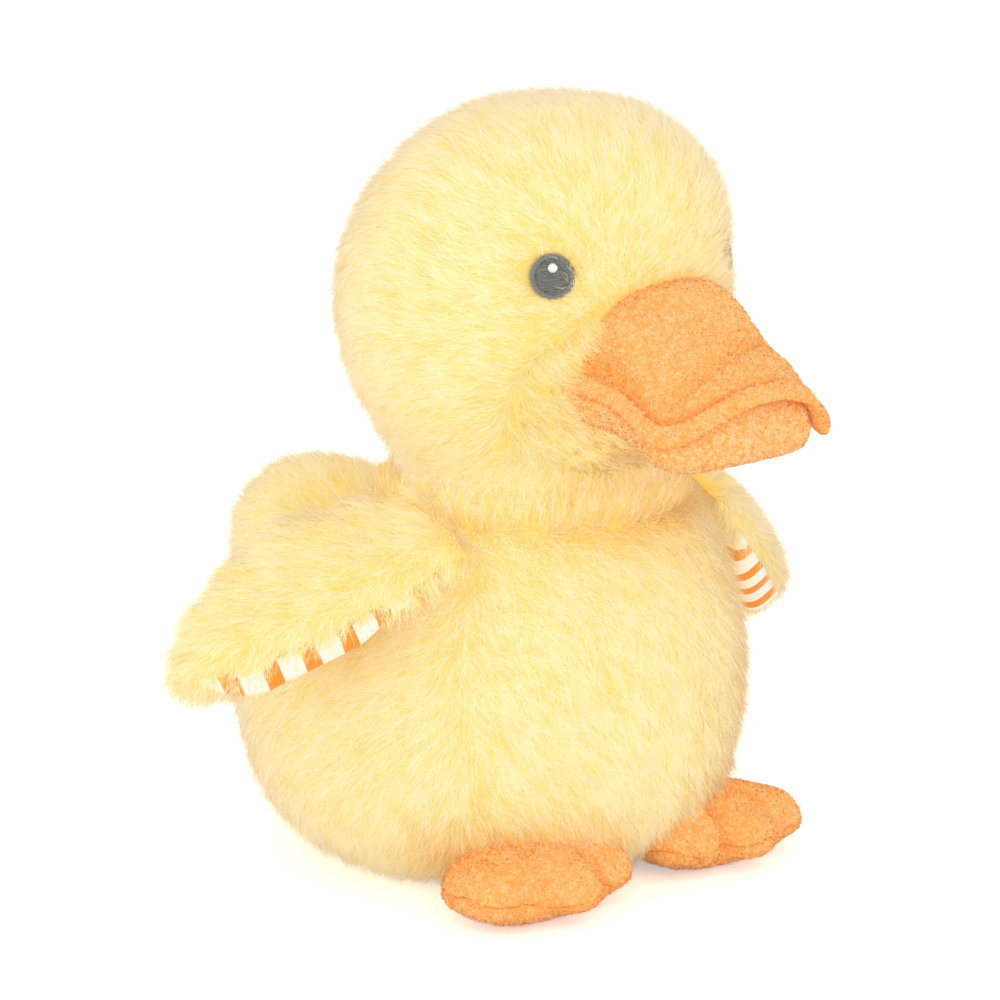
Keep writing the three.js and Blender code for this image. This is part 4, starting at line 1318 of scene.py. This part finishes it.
def tubes(starts, ends, sag):
    """Short threads from start to end, each a tube of five sides and four steps that bows by sag."""
    t = np.linspace(0, 1, TUBE_STEPS + 1)[None, :, None]
    line = mix(starts[:, None], ends[:, None], t)
    line[..., 2:] += np.sin(np.pi * t) * sag
    along = unit(ends - starts)
    flat = np.cross(along, [0, 0, 1.0])
    rise = np.cross(flat, along)
    angle = circle(TUBE_SIDES)[None, :, None]
    ring = flat[:, None] * np.cos(angle) + rise[:, None] * np.sin(angle)
    fat = THREAD * np.array([TUBE_END, 1, 1, 1, TUBE_END])[None, :, None, None]
    points = (line[:, :, None] + ring[:, None] * fat).reshape(-1, 3)
    each = (TUBE_STEPS + 1) * TUBE_SIDES
    firsts = np.arange(len(starts)) * each
    faces = (quads(TUBE_STEPS + 1, TUBE_SIDES)[None] + firsts[:, None, None]).reshape(-1, 4).tolist()
    for first in firsts.tolist():
        last = first + each - TUBE_SIDES
        faces += [list(range(first, first + TUBE_SIDES)), list(range(last, last + TUBE_SIDES))[::-1]]
    return points, faces


# %% Embroidering the eyes
EYE_THICK, EYE_SUNK = 1.6, 3.3  # and how deep its face lies under the tips of the pile
EYE_FILL, RIM_START, RIM_STITCHES, RIM_LEAN = EYE_RADIUS - 1.1, EYE_RADIUS - 1.5, 120, 0.06
SPARK_RADIUS, SPARK_UP = 1.5, 2.4

upright = unit(-DOWN - EYE_OUT * (-DOWN @ EYE_OUT))
EYE_AXES = np.array([np.cross(upright, EYE_OUT), upright, EYE_OUT])  # right, up and out, for the right eye


def disc(radius, thick, rows, around):
    down, turn = grid(rows, around)
    wide = radius * np.sin(np.pi * down) ** 0.5
    high = thick / 2 * (1 + power(np.cos(np.pi * down), 0.8))
    return as_points(wide * np.cos(turn), wide * np.sin(turn), high)


def fill_stitches():
    """Rows of satin stitch over the disc, each in three runs."""
    starts, ends = [], []
    for row in np.arange(-EYE_FILL, EYE_FILL, THREAD * 1.75):
        half_row = math.sqrt(max(EYE_FILL**2 - row**2, 0.02))
        cuts = [-half_row, *sorted(RANDOM.uniform(-half_row, half_row, 2)), half_row]
        for a, b in zip(cuts[:-1], cuts[1:]):
            starts.append((a, row, EYE_THICK - 0.15))
            ends.append((b, row + RANDOM.normal(0, 0.1), EYE_THICK - 0.15))
    return tubes(np.array(starts), np.array(ends), 0.12)


def rim_stitches():
    """Short stitches over the edge, which lean a little and end unevenly in the fur."""
    angle = circle(RIM_STITCHES)
    outer = EYE_RADIUS + RANDOM.uniform(-0.15, 0.35, RIM_STITCHES)
    inside, outside = (
        np.column_stack([np.cos(a), np.sin(a), 0 * a]) for a in (angle + RIM_LEAN, angle)
    )
    return tubes(inside * RIM_START + [0, 0, EYE_THICK - 0.05],
                 outside * outer[:, None] + [0, 0, EYE_THICK - 1.0], 0.3)


def spark_stitches():
    """A few upright stitches in a small disc."""
    rows = np.arange(-SPARK_RADIUS, SPARK_RADIUS + 0.01, THREAD * 1.7)
    half_rows = np.sqrt(np.maximum(SPARK_RADIUS**2 - rows**2, 0.05)) * 0.95
    spark = np.array([0, SPARK_UP, EYE_THICK + 0.15])
    starts, ends = (np.column_stack([rows * 0.86, end, 0 * rows]) + spark for end in (-half_rows, half_rows))
    return tubes(starts, ends, 0.15)


def embroider(side, flip):
    axes = EYE_AXES * flip
    origin = (EYE_POINT - EYE_OUT * (EYE_SUNK + EYE_THICK - 0.3)) * flip

    def stitch(name, threads, finish):
        points, faces = threads
        data = new_mesh(f"eye_{side}_{name}_stitches", points @ axes + origin, faces)
        data.shade_smooth()
        return add_piece(data, finish, "head")

    cushion = disc(EYE_RADIUS - 0.3, EYE_THICK - 0.2, 8, 48) @ axes + origin
    sew(f"eye_{side}_stitched", cushion, 48, "head", "embroidery_grey", 0.9, f"eye_{side}")
    stitch("fill", fill_stitches(), GREY_THREAD)
    stitch("rim", rim_stitches(), RIM_THREAD)
    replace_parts(stitch("spark", spark_stitches(), WHITE_THREAD), f"eye_glint_{side}")


for eye_side, eye_flip in EYES.items():
    embroider(eye_side, eye_flip)
